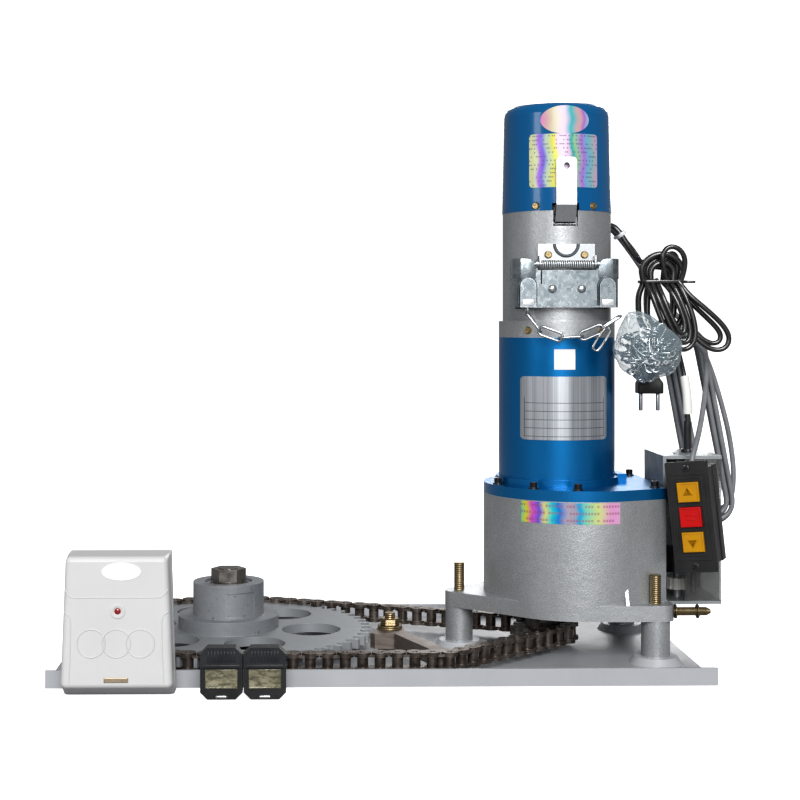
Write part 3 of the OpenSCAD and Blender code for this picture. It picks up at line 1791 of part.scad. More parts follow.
// How far a height lies from the waist, as a share that is 1 at the waist and 0 beyond its reach
function waist(w, at_w, reach) = abs(w - at_w) > reach ? 0 : pow(cos(90 * (w - at_w) / reach), 2);

function hank(centre, tilt, half_w, half_h, step, layer, from, to, draw = 0, waist_w = 0, waist_reach = 1) =
    [for (j = [round(from * hank_rings) : round(to * hank_rings)])
        let (t = j / hank_rings, out = min(t - from, to - t), mid = (from + to) / 2,
            p = stadium(t - floor(t), half_w + out * step, half_h + out * step),
            u = p[0] * (1 - draw * waist(p[1], waist_w, waist_reach)),
            y = layer * max(0, min(1, (t - mid) * 2 + 1 / 2)))
        centre + [u * cos(tilt) - p[1] * sin(tilt), y, u * sin(tilt) + p[1] * cos(tilt)]];

// Least distance between points at least half a loop apart, less the tube's thickness
function self_gap(p, r) = min([for (i = [0 : len(p) - hank_rings / 2 - 1],
    j = [i + hank_rings / 2 : len(p) - 1]) norm(p[i] - p[j])]) - 2 * r;

// Each hank: middle, lean, half its width and height, step between loops, depth between layers,
// first and last loop
power_hank_at = [288, 8, 352];
power_hank_half = [9, 28];
power_hank_step = 8.8;
power_hank_layer = -7;
power_hank_turns = [0.5, 4];
power_waist_share = 0.22;
power_waist_z = 13;
power_waist_reach = 14;
control_hank_at = [338, 56, 218];
control_hank_lean = 10.9;
control_hank_half = [9, 90];
control_hank_step = 5.9;
control_hank_layer = -5.7;
control_hank_turns = [0, 4.5];
power_loops = hank(power_hank_at, 0, power_hank_half[0], power_hank_half[1], power_hank_step,
    power_hank_layer, power_hank_turns[0], power_hank_turns[1], power_waist_share, power_waist_z, power_waist_reach);
control_loops = hank(control_hank_at, control_hank_lean, control_hank_half[0], control_hank_half[1],
    control_hank_step, control_hank_layer, control_hank_turns[0], control_hank_turns[1]);
echo("least gap in the power cord's hank", self_gap(power_loops, power_r));
echo("least gap in the control cord's hank", self_gap(control_loops, cord_r));

// Facets round a cord, and steps between two points of its route
cord_sides = 8;
hank_sides = 6;
coarse_steps = 2;
fine_steps = 3;

module power_cord() {
    color("black") {
        tube(smooth(power_to_hank, coarse_steps), power_r, cord_sides);
        tube(smooth(power_to_plug, fine_steps), power_r, cord_sides);
    }
}

module power_hank() {
    color("black")
    tube(power_loops, power_r, hank_sides);
}

module limit_cable() {
    color("black")
    tube(smooth(limit_route, fine_steps), limit_r, cord_sides);
}

module control_cord() {
    color("gray") {
        tube(smooth(control_to_hank, coarse_steps), cord_r, cord_sides);
        tube(smooth(control_to_station, coarse_steps), cord_r, cord_sides);
    }
}

module control_hank() {
    color("gray")
    tube(control_loops, cord_r, hank_sides);
}

// Mains plug with its strain relief and two round pins
plug_at = [272, -7.5, 286];
plug_w = 25;
plug_d = 17;
plug_h = 32;
relief_h = 20;
relief_r = 6;
relief_end_r = 4.2;
plug_pin_r = 2;
plug_pin_h = 17;
plug_pin_x = 8.5;
// Shares of the plug's width and height at which its outline turns
plug_waist_share = 0.36;
plug_turn_shares = [0.2, 0.6, 0.7];

module mains_plug() {
    color("black")
    translate(plug_at) {
        cylinder(r1 = relief_r, r2 = relief_end_r, h = relief_h);
        translate([0, plug_d / 2, 0])
            rotate([90, 0, 0])
                linear_extrude(plug_d)
                    polygon([[-plug_w / 2, -plug_h], [plug_w / 2, -plug_h],
                        [plug_w / 2, -plug_h * plug_turn_shares[2]],
                        [plug_w * plug_waist_share, -plug_h * plug_turn_shares[1]],
                        [plug_w * plug_waist_share, -plug_h * plug_turn_shares[0]], [relief_r, 0],
                        [-relief_r, 0], [-plug_w * plug_waist_share, -plug_h * plug_turn_shares[0]],
                        [-plug_w * plug_waist_share, -plug_h * plug_turn_shares[1]],
                        [-plug_w / 2, -plug_h * plug_turn_shares[2]]]);
        for (side = [-1, 1])
            at([side * plug_pin_x, 0])
                rod(plug_pin_r, -plug_h - plug_pin_h, -plug_h);
    }
}

// Ties: one round the three cords below the gland, one round the power cord's hank
tie_at = [248.6, 21.5, 413];
tie_turn = 141;
tie_inner = [8.4, 25];
tie_t = 1.2;
tie_w = 3.6;
twist_at = [288, 4.5, 365];
twist_inner = [46.4, 16.4];
twist_t = 1.4;
twist_tail = 9;
round_room = 0.1;

module loop_band(size, t, w) {
    translate([0, 0, -w / 2])
        linear_extrude(w)
            difference() {
                round_square(size[0] + 2 * t, size[1] + 2 * t, min(size) / 2);
                round_square(size[0], size[1], min(size) / 2 - round_room);
            }
}

module cable_ties() {
    color("white")
    translate(tie_at)
        rotate([0, tie_turn, 0])
            loop_band(tie_inner, tie_t, tie_w);
    color("black")
    translate(twist_at) {
        loop_band(twist_inner, twist_t, 2 * twist_t);
        translate([twist_inner[0] / 2 + twist_t / 2, 0, 0])
            x_rod(twist_t, 0, twist_tail);
    }
}

// Hand chain: links of round wire, turned by a quarter one after the other
hand_wire_r = 1.25;
hand_bow_r = 4.1;
hand_fn = 16;
hand_points = [[143, -58, 353], [143, -58.5, 333], [155, -62, 317], [174, -66, 310], [193, -69, 311],
    [212, -71, 319], [229, -70, 330]];

module chain_link(length) {
    reach = hand_wire_r + gap / 2;
    straight = length + 2 * reach - 2 * hand_bow_r;
    translate([-reach + hand_bow_r, 0, 0]) {
        for (side = [-1, 1])
            translate([0, side * hand_bow_r, 0])
                x_rod(hand_wire_r, 0, straight);
        rotate([0, 0, 90])
            rotate_extrude(angle = 180)
                translate([hand_bow_r, 0])
                    circle(hand_wire_r, $fn = hand_fn);
        translate([straight, 0, 0])
            rotate([0, 0, -90])
                rotate_extrude(angle = 180)
                    translate([hand_bow_r, 0])
                        circle(hand_wire_r, $fn = hand_fn);
    }
}

module hand_chain() {
    color("silver")
    for (i = [0 : len(hand_points) - 2]) {
        step = hand_points[i + 1] - hand_points[i];
        translate(hand_points[i])
            rotate([0, -asin(step[2] / norm(step)), angle_of(step)])
                rotate([(i + 1) % 2 * 90, 0, 0])
                    chain_link(norm(step));
    }
}

// Bag with the rest of the hand chain, hanging on it
bag_at = [256.5, -70, 302.75];
bag_size = [36, 22, 36];
bag_tint = [0.8, 0.85, 0.9, 0.5];
// Shares of the bag's size at which its round corners stand, and of their radius
bag_corner_share = 0.42;
bag_slant_share = 0.12;
bag_low_share = 0.4;
bag_r_share = 0.82;
bag_r_step_share = 0.1;

module chain_bag() {
    color(bag_tint)
    translate(bag_at)
        hull() {
            for (side = [-1, 1], end = [-1, 1])
                translate([side * bag_size[0] * bag_corner_share, side * end * bag_size[1] * bag_slant_share,
                    end * bag_size[2] * bag_corner_share])
                    sphere(bag_size[1] * (bag_r_share - end * bag_r_step_share), $fn = round_fn);
            translate([0, 0, -bag_size[2] * bag_low_share])
                sphere(bag_size[1], $fn = round_fn);
        }
}

gland_turn = 20;
gland_z = 422;
gland_size = [22, 12];
gland_t = 1.6;
gland_room = 0.4;

module cable_gland() {
    color("black")
    at(motor_at)
        rotate(gland_turn)
            translate([brake_r + gland_room, 0, gland_z])
                rotate([90, 0, 90])
                    linear_extrude(gland_t)
                        round_square(gland_size[0], gland_size[1], gland_size[1] / 2 - round_room);
}

// Torsion spring of the guard, wound round its pin
spring_curls = 24;
curl_steps = 8;
spring_loops = [for (j = [-curl_steps : spring_curls * curl_steps + curl_steps])
    let (n = max(0, min(spring_curls * curl_steps, j)), a = n * 360 / curl_steps,
        r = spring_r - spring_wire_r,
        x = spring_l * (n / spring_curls / curl_steps - 1 / 2), past = j - n)
    abs(past) > 1 ? undef
        : [x, r * cos(a) - past * 2 * spring_wire_r * sin(a),
            r * sin(a) + past * 2 * spring_wire_r * cos(a)]];
spring_line = [for (p = spring_loops) if (p != undef) p];
echo("least gap in the guard's spring", spring_l / spring_curls - 2 * spring_wire_r);

module guard_spring() {
    color("silver")
    at(motor_at)
        translate([0, spring_y, spring_z])
            tube(spring_line, spring_wire_r, hank_sides, [1, 0, 0]);
}

base_plate();
leg_spacers();
plate_bolts();
drum_axle();
gear_housing();
gear_cover();
cover_screws();
shaft_bearings();
motor_tube();
stator();
end_shield();
brass_screws();
brake_housing();
top_cap();
brake_coil();
capacitor();
guide_bracket();
guard_spring();
pivot_pins();
nameplate();
limit_bracket();
limit_cover();
limit_switches();
earth_bolt();
station_case();
station_plate();
chain_bag();
hand_chain();
cable_gland();
sprocket_wheel();
sprocket_hub();
output_shaft();
drive_sprocket();
output_gear();
counter_gear();
rotor();
brake_disc();
chain_wheel();
armature_plate();
release_lever();
chain_guard();
pawl_arm();
limit_wheel_upper();
limit_wheel_lower();
button_up();
button_stop();
button_down();
drive_chain();
receiver_case();
remote_case_left();
remote_cover_left();
remote_case_right();
remote_cover_right();
power_cord();
power_hank();
mains_plug();
limit_cable();
control_cord();
control_hank();
cable_ties();
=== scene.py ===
"""Dresses the industrial door operator: its finishes, its cords and the pieces that a maker adds by hand."""

import logging
import math
import random
from contextlib import contextmanager
from dataclasses import dataclass, field
from enum import Enum
from typing import Callable, Iterator, Optional, Sequence

import bpy
from mathutils import Euler, Matrix, Vector


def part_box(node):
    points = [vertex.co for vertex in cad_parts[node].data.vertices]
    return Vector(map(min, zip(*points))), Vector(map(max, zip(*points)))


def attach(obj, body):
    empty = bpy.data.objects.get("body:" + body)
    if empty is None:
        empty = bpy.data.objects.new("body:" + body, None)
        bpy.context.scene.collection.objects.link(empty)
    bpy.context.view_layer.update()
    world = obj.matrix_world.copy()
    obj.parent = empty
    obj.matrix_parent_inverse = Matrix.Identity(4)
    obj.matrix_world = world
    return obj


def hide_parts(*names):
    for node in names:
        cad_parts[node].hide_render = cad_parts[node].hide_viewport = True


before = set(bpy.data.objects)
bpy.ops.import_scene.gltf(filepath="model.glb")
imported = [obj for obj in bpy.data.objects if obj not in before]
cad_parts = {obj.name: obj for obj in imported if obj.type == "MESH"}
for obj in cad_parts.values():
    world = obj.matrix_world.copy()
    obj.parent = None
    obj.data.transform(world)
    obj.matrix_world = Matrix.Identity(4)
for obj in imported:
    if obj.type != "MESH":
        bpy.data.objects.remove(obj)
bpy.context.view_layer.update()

logging.basicConfig(level=logging.INFO, format="%(message)s")
LOG = logging.getLogger("door operator")
MM = 0.001
MOTOR_X = 0.181
FOIL_THICK = 0.0002
QUARTER = math.pi / 2
Point = tuple[float, float, float]
Colour = tuple[float, float, float]
Socket = bpy.types.NodeSocket
Node = bpy.types.Node
Tree = bpy.types.NodeTree
Piece = bpy.types.Object
Test = Callable[[Vector, Vector], bool]


class Axis(Enum):
    """The way that a round piece's own axis points, as the turn that brings it there from upright."""

    X = (0, QUARTER, 0)
    Y = (QUARTER, 0, 0)
    Z = (0, 0, 0)


class Pick(Enum):
    """What an edit mode selection is made of."""

    VERT = "VERT"
    EDGE = "EDGE"
    FACE = "FACE"


class Side(Enum):
    """The left and the right of a pair, as the sign of x."""

    LEFT = -1
    RIGHT = 1

    @property
    def word(self) -> str:
        """Gives the side's word for a piece's name."""
        return self.name.lower()


# Node trees


class Wiring:
    """Short calls that add nodes to a tree and join them."""

    def __init__(self, tree: Tree) -> None:
        """Keeps the tree that the nodes go into."""
        self.tree = tree

    def node(self, kind: str, **settings: object) -> Node:
        """Adds a node.

        Args:
            kind: The node's type.
            settings: Its properties.

        Returns:
            The node.
        """
        made = self.tree.nodes.new(kind)
        for key, value in settings.items():
            setattr(made, key, value)
        return made

    def join(self, source: object, target: Socket) -> None:
        """Joins an output to an input, or sets the input to a plain value.

        Args:
            source: A socket or a value.
            target: The input.
        """
        if isinstance(source, Socket):
            self.tree.links.new(source, target)
        else:
            target.default_value = source

    def math(self, operation: str, *values: object, clamp: bool = False) -> Socket:
        """Adds a Math node on the given sockets or numbers.

        Args:
            operation: The node's operation.
            values: Its inputs in order.
            clamp: Whether the result is held between 0 and 1.

        Returns:
            The node's result.
        """
        made = self.node("ShaderNodeMath", operation=operation, use_clamp=clamp)
        for place, value in enumerate(values):
            self.join(value, made.inputs[place])
        return made.outputs[0]

    def blend(self, share: object, first: object, second: object) -> Socket:
        """Mixes two colours.

        Args:
            share: How much of the second colour shows.
            first: The first colour.
            second: The second colour.

        Returns:
            The mixed colour.
        """
        made = self.node("ShaderNodeMix", data_type="RGBA")
        self.join(share, made.inputs[0])
        for value, target in ((first, made.inputs[6]), (second, made.inputs[7])):
            self.join((*value, 1) if isinstance(value, tuple) else value, target)
        return made.outputs[2]

    def span(self, value: object, low: object, high: object, to_low: float = 0.0, to_high: float = 1.0,
             kind: str = "SMOOTHSTEP") -> Socket:
        """Maps a number from one span to another and holds it at the ends.

        Args:
            value: The number.
            low: The span's lower end.
            high: Its upper end.
            to_low: What the lower end becomes.
            to_high: What the upper end becomes.
            kind: How it runs from end to end.

        Returns:
            The mapped number.
        """
        made = self.node("ShaderNodeMapRange", interpolation_type=kind)
        for place, item in enumerate((value, low, high, to_low, to_high)):
            self.join(item, made.inputs[place])
        return made.outputs[0]

    def noise(self, vector: Socket, scale: object, detail: float = 4.0, rough: float = 0.55) -> Socket:
        """Adds a Noise Texture.

        Args:
            vector: Where it is read.
            scale: Its scale.
            detail: Its detail.
            rough: Its roughness.

        Returns:
            The noise's value.
        """
        made = self.node("ShaderNodeTexNoise")
        for key, value in (("Vector", vector), ("Scale", scale), ("Detail", detail), ("Roughness", rough)):
            self.join(value, made.inputs[key])
        return made.outputs[0]

    def parts(self, vector: Socket) -> bpy.types.bpy_prop_collection:
        """Splits a vector and gives its three outputs."""
        made = self.node("ShaderNodeSeparateXYZ")
        self.join(vector, made.inputs[0])
        return made.outputs

    def off_middle(self, value: Socket, middle: float = 0.5) -> Socket:
        """Gives how far a number is from a middle."""
        return self.math("ABSOLUTE", self.math("SUBTRACT", value, middle))


class SharedGroup(Wiring):
    """A node group under way that several finishes share: a Vector, numbers and one output."""

    def __init__(self, name: str, output: str, **numbers: float) -> None:
        """Makes the group with its sockets.

        Args:
            name: The group's name.
            output: Its output's name.
            numbers: Its number inputs with their defaults.
        """
        super().__init__(bpy.data.node_groups.new(name, "ShaderNodeTree"))
        sockets = self.tree.interface
        sockets.new_socket(name="Vector", in_out="INPUT", socket_type="NodeSocketVector")
        for key, value in numbers.items():
            made = sockets.new_socket(name=key, in_out="INPUT", socket_type="NodeSocketFloat")
            made.default_value = value
        sockets.new_socket(name=output, in_out="OUTPUT", socket_type="NodeSocketFloat")
        self.given = self.node("NodeGroupInput").outputs
        self.place = self.given["Vector"]
        self.result = self.node("NodeGroupOutput").inputs[output]

    def done(self, value: Socket) -> Tree:
        """Joins the value to the group's output and gives the group."""
        self.join(value, self.result)
        return self.tree


def mottle_group() -> Tree:
    """Makes the group that gives broad, uneven patches.

    Returns:
        The group.
    """
    g = SharedGroup("mottle", "Mask", Scale=40, Contrast=0.5)
    value = g.noise(g.place, g.given["Scale"], detail=6.0, rough=0.6)
    half = g.math("MULTIPLY", g.math("SUBTRACT", 1.0, g.given["Contrast"]), 0.35)
    return g.done(g.span(value, g.math("SUBTRACT", 0.5, half), g.math("ADD", 0.5, half), kind="LINEAR"))


def grain_group() -> Tree:
    """Makes the group that gives a fine surface grain, with broader ripples under it.

    Returns:
        The group.
    """
    g = SharedGroup("grain", "Height", Scale=900, Ripple=0.4)
    fine = g.noise(g.place, g.given["Scale"], detail=3.0)
    broad = g.noise(g.place, g.math("MULTIPLY", g.given["Scale"], 0.16), detail=2.0)
    return g.done(g.math("ADD", fine, g.math("MULTIPLY", broad, g.given["Ripple"])))


def wear_group() -> Tree:
    """Makes the group that finds the edges that handling rubs bare.

    Returns:
        The group.
    """
    g = SharedGroup("edge_wear", "Mask", Reach=0.05, Break=60)
    soft = g.node("ShaderNodeBevel", samples=4)
    soft.inputs["Radius"].default_value = 0.0008
    turn = g.node("ShaderNodeVectorMath", operation="DOT_PRODUCT")
    g.join(soft.outputs["Normal"], turn.inputs[0])
    g.join(g.node("ShaderNodeNewGeometry").outputs["Normal"], turn.inputs[1])
    edge = g.math("SUBTRACT", 1.0, turn.outputs["Value"])
    broken = g.noise(g.place, g.given["Break"], detail=5.0, rough=0.65)
    reach = g.math("MULTIPLY", g.given["Reach"], g.math("MULTIPLY", broken, 3.0))
    return g.done(g.span(edge, reach, g.math("ADD", reach, 0.12)))


def soil_group() -> Tree:
    """Makes the group that gives scattered specks and stains.

    Returns:
        The group.
    """
    g = SharedGroup("soil", "Mask", Scale=90, Amount=0.3)
    value = g.noise(g.place, g.given["Scale"], detail=8.0, rough=0.7)
    edge = g.math("SUBTRACT", 0.78, g.math("MULTIPLY", g.given["Amount"], 0.35))
    return g.done(g.span(value, edge, g.math("ADD", edge, 0.08), kind="LINEAR"))


def bars_group() -> Tree:
    """Makes the group that gives rows of short plain bars on a flat map.

    Returns:
        The group.
    """
    g = SharedGroup("bars", "Mask", Columns=20, Rows=8, Fill=0.4)
    flat = g.parts(g.place)
    across = g.math("MULTIPLY", flat[0], g.given["Columns"])
    up = g.math("MULTIPLY", flat[1], g.given["Rows"])
    cell = g.node("ShaderNodeCombineXYZ")
    g.join(g.math("FLOOR", across), cell.inputs[0])
    g.join(g.math("FLOOR", up), cell.inputs[1])
    chance = g.node("ShaderNodeTexWhiteNoise", noise_dimensions="2D")
    g.join(cell.outputs[0], chance.inputs[0])
    row = g.math("LESS_THAN", g.off_middle(g.math("FRACT", up)), 0.17)
    column = g.math("LESS_THAN", g.math("FRACT", across), 0.72)
    shown = g.math("LESS_THAN", chance.outputs[0], g.given["Fill"])
    return g.done(g.math("MULTIPLY", g.math("MULTIPLY", row, column), shown))


class Shared:
    """The node groups, each built once."""

    mottle: Tree
    grain: Tree
    wear: Tree
    soil: Tree
    bars: Tree

    @classmethod
    def build(cls) -> None:
        """Builds every shared group."""
        cls.mottle, cls.grain, cls.wear = mottle_group(), grain_group(), wear_group()
        cls.soil, cls.bars = soil_group(), bars_group()


class Recipe(Wiring):
    """A material under way: its tree, its main shader and its maps."""

    def __init__(self, name: str) -> None:
        """Starts a material of that name."""
        self.material = bpy.data.materials.new(name)
        self.material.use_nodes = True
        super().__init__(self.material.node_tree)
        self.shader = self.tree.nodes["Principled BSDF"]
        coords = self.node("ShaderNodeTexCoord")
        self.object_map = coords.outputs["Object"]
        self.flat_map = coords.outputs["UV"]

    def mapped(self, source: Socket, scale: Point = (1, 1, 1), move: Point = (0, 0, 0)) -> Socket:
        """Scales a map and then moves it.

        Args:
            source: The map.
            scale: Its scale along each axis.
            move: How far it moves.

        Returns:
            The new map.
        """
        made = self.node("ShaderNodeMapping")
        for key, value in (("Vector", source), ("Scale", scale), ("Location", move)):
            self.join(value, made.inputs[key])
        return made.outputs[0]

    def group(self, tree: Tree, vector: Socket, *values: float) -> Socket:
        """Places a shared group.

        Args:
            tree: The group.
            vector: Where it is read.
            values: Its numbers in order.

        Returns:
            Its output.
        """
        made = self.node("ShaderNodeGroup", node_tree=tree)
        for place, value in enumerate((vector, *values)):
            self.join(value, made.inputs[place])
        return made.outputs[0]

    def facing(self, blend: float = 0.35) -> Socket:
        """Gives how far the surface turns away from the viewer."""
        made = self.node("ShaderNodeLayerWeight")
        made.inputs["Blend"].default_value = blend
        return made.outputs["Facing"]

    def bump(self, height: Socket, strength: float, depth: float) -> None:
        """Bumps the surface.

        Args:
            height: The height, from 0 to 1.
            strength: How much of the bump shows.
            depth: The bump's depth in metres.
        """
        made = self.node("ShaderNodeBump")
        for key, value in (("Strength", strength), ("Distance", depth), ("Height", height)):
            self.join(value, made.inputs[key])
        self.join(made.outputs[0], self.shader.inputs["Normal"])

    def put(self, **values: object) -> None:
        """Sets or joins the main shader's sockets.

        Args:
            values: The sockets' values; an underscore in a name is a space.
        """
        for key, value in values.items():
            colour = isinstance(value, tuple) and len(value) == 3
            self.join((*value, 1) if colour else value, self.shader.inputs[key.replace("_", " ")])


# Finishes


@dataclass(frozen=True)
class Finish:
    """An ordinary finish: a mottled colour, a grain, worn edges and specks."""

    name: str
    colour: Colour
    shade: Colour
    metal: float = 0.0
    rough: tuple[float, float] = (0.4, 0.55)
    patch: float = 30.0
    contrast: float = 0.4
    grain: float = 900.0
    bump: float = 0.15
    depth: float = 0.0004
    ripple: float = 0.5
    stretch: Point = (1, 1, 1)
    wear: Optional[Colour] = None
    reach: float = 0.06
    wear_break: float = 60.0
    soil: Optional[Colour] = None
    soil_scale: float = 90.0
    soil_amount: float = 0.3
    soil_rough: float = 0.2
    coat: float = 0.0
    coat_rough: float = 0.1
    extra: dict[str, float] = field(default_factory=dict)

    def make(self) -> bpy.types.Material:
        """Builds the finish's material.

        Returns:
            The material, ready to go on a piece.
        """
        r = Recipe(self.name)
        where = r.mapped(r.object_map, self.stretch)
        patches = r.group(Shared.mottle, where, self.patch, self.contrast)
        colour = r.blend(patches, self.colour, self.shade)
        rough = r.span(patches, 0.0, 1.0, *self.rough)
        metal: object = self.metal
        if self.soil:
            specks = r.group(Shared.soil, r.object_map, self.soil_scale, self.soil_amount)
            colour = r.blend(specks, colour, self.soil)
            rough = r.math("ADD", rough, r.math("MULTIPLY", specks, self.soil_rough), clamp=True)
        if self.wear:
            worn = r.group(Shared.wear, r.object_map, self.reach, self.wear_break)
            colour = r.blend(worn, colour, self.wear)
            metal = r.math("MAXIMUM", worn, self.metal)
        r.put(Base_Color=colour, Roughness=rough, Metallic=metal)
        r.put(Coat_Weight=self.coat, Coat_Roughness=self.coat_rough, **self.extra)
        r.bump(r.group(Shared.grain, where, self.grain, self.ripple), self.bump, self.depth)
        return r.material


@dataclass(frozen=True)
class Spangle:
    """Zinc plate with its mottled spangle."""

    name: str = "zinc_spangle"
    light: Colour = (0.4, 0.44, 0.46)
    dark: Colour = (0.14, 0.17, 0.19)
    worn: Colour = (0.75, 0.78, 0.79)
    scale: float = 260.0
    ripple: float = 300.0
    warp: float = 0.004
    cell_share: float = 0.6

    def make(self) -> bpy.types.Material:
        """Builds the material from warped crystals over broad patches.

        Returns:
            The material.
        """
        r = Recipe(self.name)
        ripple = r.node("ShaderNodeTexNoise")
        ripple.inputs["Scale"].default_value = self.ripple
        r.join(r.object_map, ripple.inputs["Vector"])
        shift = r.node("ShaderNodeVectorMath", operation="SCALE")
        shift.inputs["Scale"].default_value = self.warp
        r.join(ripple.outputs["Color"], shift.inputs[0])
        warped = r.node("ShaderNodeVectorMath", operation="ADD")
        r.join(r.object_map, warped.inputs[0])
        r.join(shift.outputs[0], warped.inputs[1])
        cells = r.node("ShaderNodeTexVoronoi", feature="F1")
        cells.inputs["Scale"].default_value = self.scale
        r.join(warped.outputs[0], cells.inputs["Vector"])
        tone = r.node("ShaderNodeSeparateColor")
        r.join(cells.outputs["Color"], tone.inputs[0])
        broad = r.math("MULTIPLY", r.group(Shared.mottle, r.object_map, 45.0, 0.3), 1 - self.cell_share)
        share = r.math("ADD", r.math("MULTIPLY", tone.outputs[0], self.cell_share), broad)
        worn = r.group(Shared.wear, r.object_map, 0.05, 90.0)
        colour = r.blend(worn, r.blend(share, self.light, self.dark), self.worn)
        r.put(Base_Color=colour, Roughness=r.span(share, 0.0, 1.0, 0.2, 0.38), Metallic=0.9)
        r.bump(r.group(Shared.grain, r.object_map, 700.0, 0.6), 0.12, 0.0003)
        return r.material


@dataclass(frozen=True)
class Hammered:
    """Silver paint with flakes that dry in a hammered pattern."""

    name: str = "hammered_silver"
    light: Colour = (0.56, 0.575, 0.59)
    dark: Colour = (0.19, 0.2, 0.21)
    speck: Colour = (0.2, 0.19, 0.18)
    worn: Colour = (0.62, 0.63, 0.64)
    flake: float = 1500.0

    def make(self) -> bpy.types.Material:
        """Builds the material from fine flakes, soft patches and worn edges.

        Returns:
            The material.
        """
        r = Recipe(self.name)
        flakes = r.span(r.noise(r.object_map, self.flake, detail=2.0, rough=0.7), 0.38, 0.66)
        patches = r.group(Shared.mottle, r.object_map, 22.0, 0.2)
        share = r.math("ADD", r.math("MULTIPLY", flakes, 0.6), r.math("MULTIPLY", patches, 0.3))
        worn = r.group(Shared.wear, r.object_map, 0.055, 45.0)
        specks = r.group(Shared.soil, r.object_map, 120.0, 0.05)
        colour = r.blend(specks, r.blend(share, self.light, self.dark), self.speck)
        colour = r.blend(worn, colour, self.worn)
        r.put(Base_Color=colour, Roughness=r.span(share, 0.0, 1.0, 0.4, 0.54), Metallic=0.72)
        r.put(Coat_Weight=0.25, Coat_Roughness=0.22)
        r.bump(r.group(Shared.grain, r.object_map, 650.0, 1.2), 0.4, 0.0005)
        return r.material


@dataclass(frozen=True)
class FlakeBlue:
    """Clear blue over metal flakes, with painted shade where the surface turns away from the viewer."""

    name: str = "flake_blue"
    light: Colour = (0.0, 0.17, 0.44)
    dark: Colour = (0.0, 0.1, 0.25)
    flake_colour: Colour = (0.0, 0.42, 0.78)
    speck: Colour = (0.5, 0.6, 0.65)
    flake: float = 2200.0

    def make(self) -> bpy.types.Material:
        """Builds the material: flakes below, a clear coat above.

        Returns:
            The material.
        """
        r = Recipe(self.name)
        flakes = r.span(r.noise(r.object_map, self.flake, detail=1.0, rough=0.5), 0.55, 0.75, 0.0, 0.35)
        patches = r.group(Shared.mottle, r.object_map, 18.0, 0.2)
        # Painted shade: the colour runs to the dark blue where the surface turns away from the viewer.
        turned_away = r.math("MULTIPLY", r.facing(), 0.8)
        share = r.math("ADD", turned_away, r.math("MULTIPLY", patches, 0.15), clamp=True)
        colour = r.blend(flakes, r.blend(share, self.light, self.dark), self.flake_colour)
        colour = r.blend(r.group(Shared.soil, r.object_map, 160.0, 0.04), colour, self.speck)
        r.put(Base_Color=colour, Roughness=r.span(patches, 0.0, 1.0, 0.28, 0.36), Metallic=0.75)
        r.put(Coat_Weight=0.35, Coat_Roughness=0.08)
        r.bump(r.group(Shared.grain, r.object_map, 500.0, 0.8), 0.05, 0.0004)
        return r.material


@dataclass(frozen=True)
class Threaded:
    """Yellow zinc on a screw: threads along one axis, with painted shade in their roots."""

    name: str
    along: int
    pitch: float
    light: Colour = (0.4, 0.33, 0.21)
    middle: Colour = (0.27, 0.2, 0.1)
    dark: Colour = (0.13, 0.095, 0.05)

    def make(self) -> bpy.types.Material:
        """Builds the material from a ripple along the axis.

        Returns:
            The material.
        """
        r = Recipe(self.name)
        along = r.parts(r.object_map)[self.along]
        wave = r.math("SINE", r.math("MULTIPLY", along, 2 * math.pi / self.pitch))
        height = r.math("ADD", r.math("MULTIPLY", wave, 0.5), 0.5)
        patches = r.group(Shared.mottle, r.object_map, 140.0, 0.4)
        # Painted shade: the thread roots, where the ripple is low, take the dark colour.
        colour = r.blend(height, self.dark, r.blend(patches, self.light, self.middle))
        r.put(Base_Color=colour, Roughness=r.span(patches, 0.0, 1.0, 0.25, 0.45), Metallic=0.9)
        r.bump(height, 0.6, 0.0006)
        return r.material


@dataclass(frozen=True)
class Foil:
    """Rainbow foil: vertical bands of colour along the label's own map."""

    name: str
    bands: tuple[tuple[float, Colour], ...]
    columns: float = 40.0
    rows: float = 12.0
    fill: float = 0.3
    ink: Colour = (0.16, 0.15, 0.3)
    ink_share: float = 0.6
    wave: float = 0.02
    wave_rate: float = 9.0
    saturation: float = 1.15
    value: float = 0.72

    def make(self) -> bpy.types.Material:
        """Builds the material: bands with a wavy edge and rows of short plain bars.

        Returns:
            The material.
        """
        r = Recipe(self.name)
        flat = r.parts(r.flat_map)
        sway = r.math("MULTIPLY", r.math("SINE", r.math("MULTIPLY", flat[1], self.wave_rate)), self.wave)
        ramp = r.node("ShaderNodeValToRGB")
        stops = ramp.color_ramp.elements
        for place, (at, colour) in enumerate(self.bands):
            stop = stops[place] if place < 2 else stops.new(at)
            stop.position, stop.color = at, (*colour, 1)
        r.join(r.math("ADD", flat[0], sway), ramp.inputs[0])
        bars = r.group(Shared.bars, r.flat_map, self.columns, self.rows, self.fill)
        ink = r.math("MULTIPLY", bars, self.ink_share)
        deep = r.node("ShaderNodeHueSaturation")
        deep.inputs["Saturation"].default_value = self.saturation
        deep.inputs["Value"].default_value = self.value
        r.join(ramp.outputs[0], deep.inputs["Color"])
        r.put(Base_Color=r.blend(ink, deep.outputs[0], self.ink), Roughness=r.span(ink, 0.0, 1.0, 0.3, 0.5))
        r.put(Metallic=0.1, Coat_Weight=0.15, Coat_Roughness=0.3)
        r.bump(r.group(Shared.grain, r.object_map, 400.0, 0.5), 0.05, 0.0002)
        return r.material


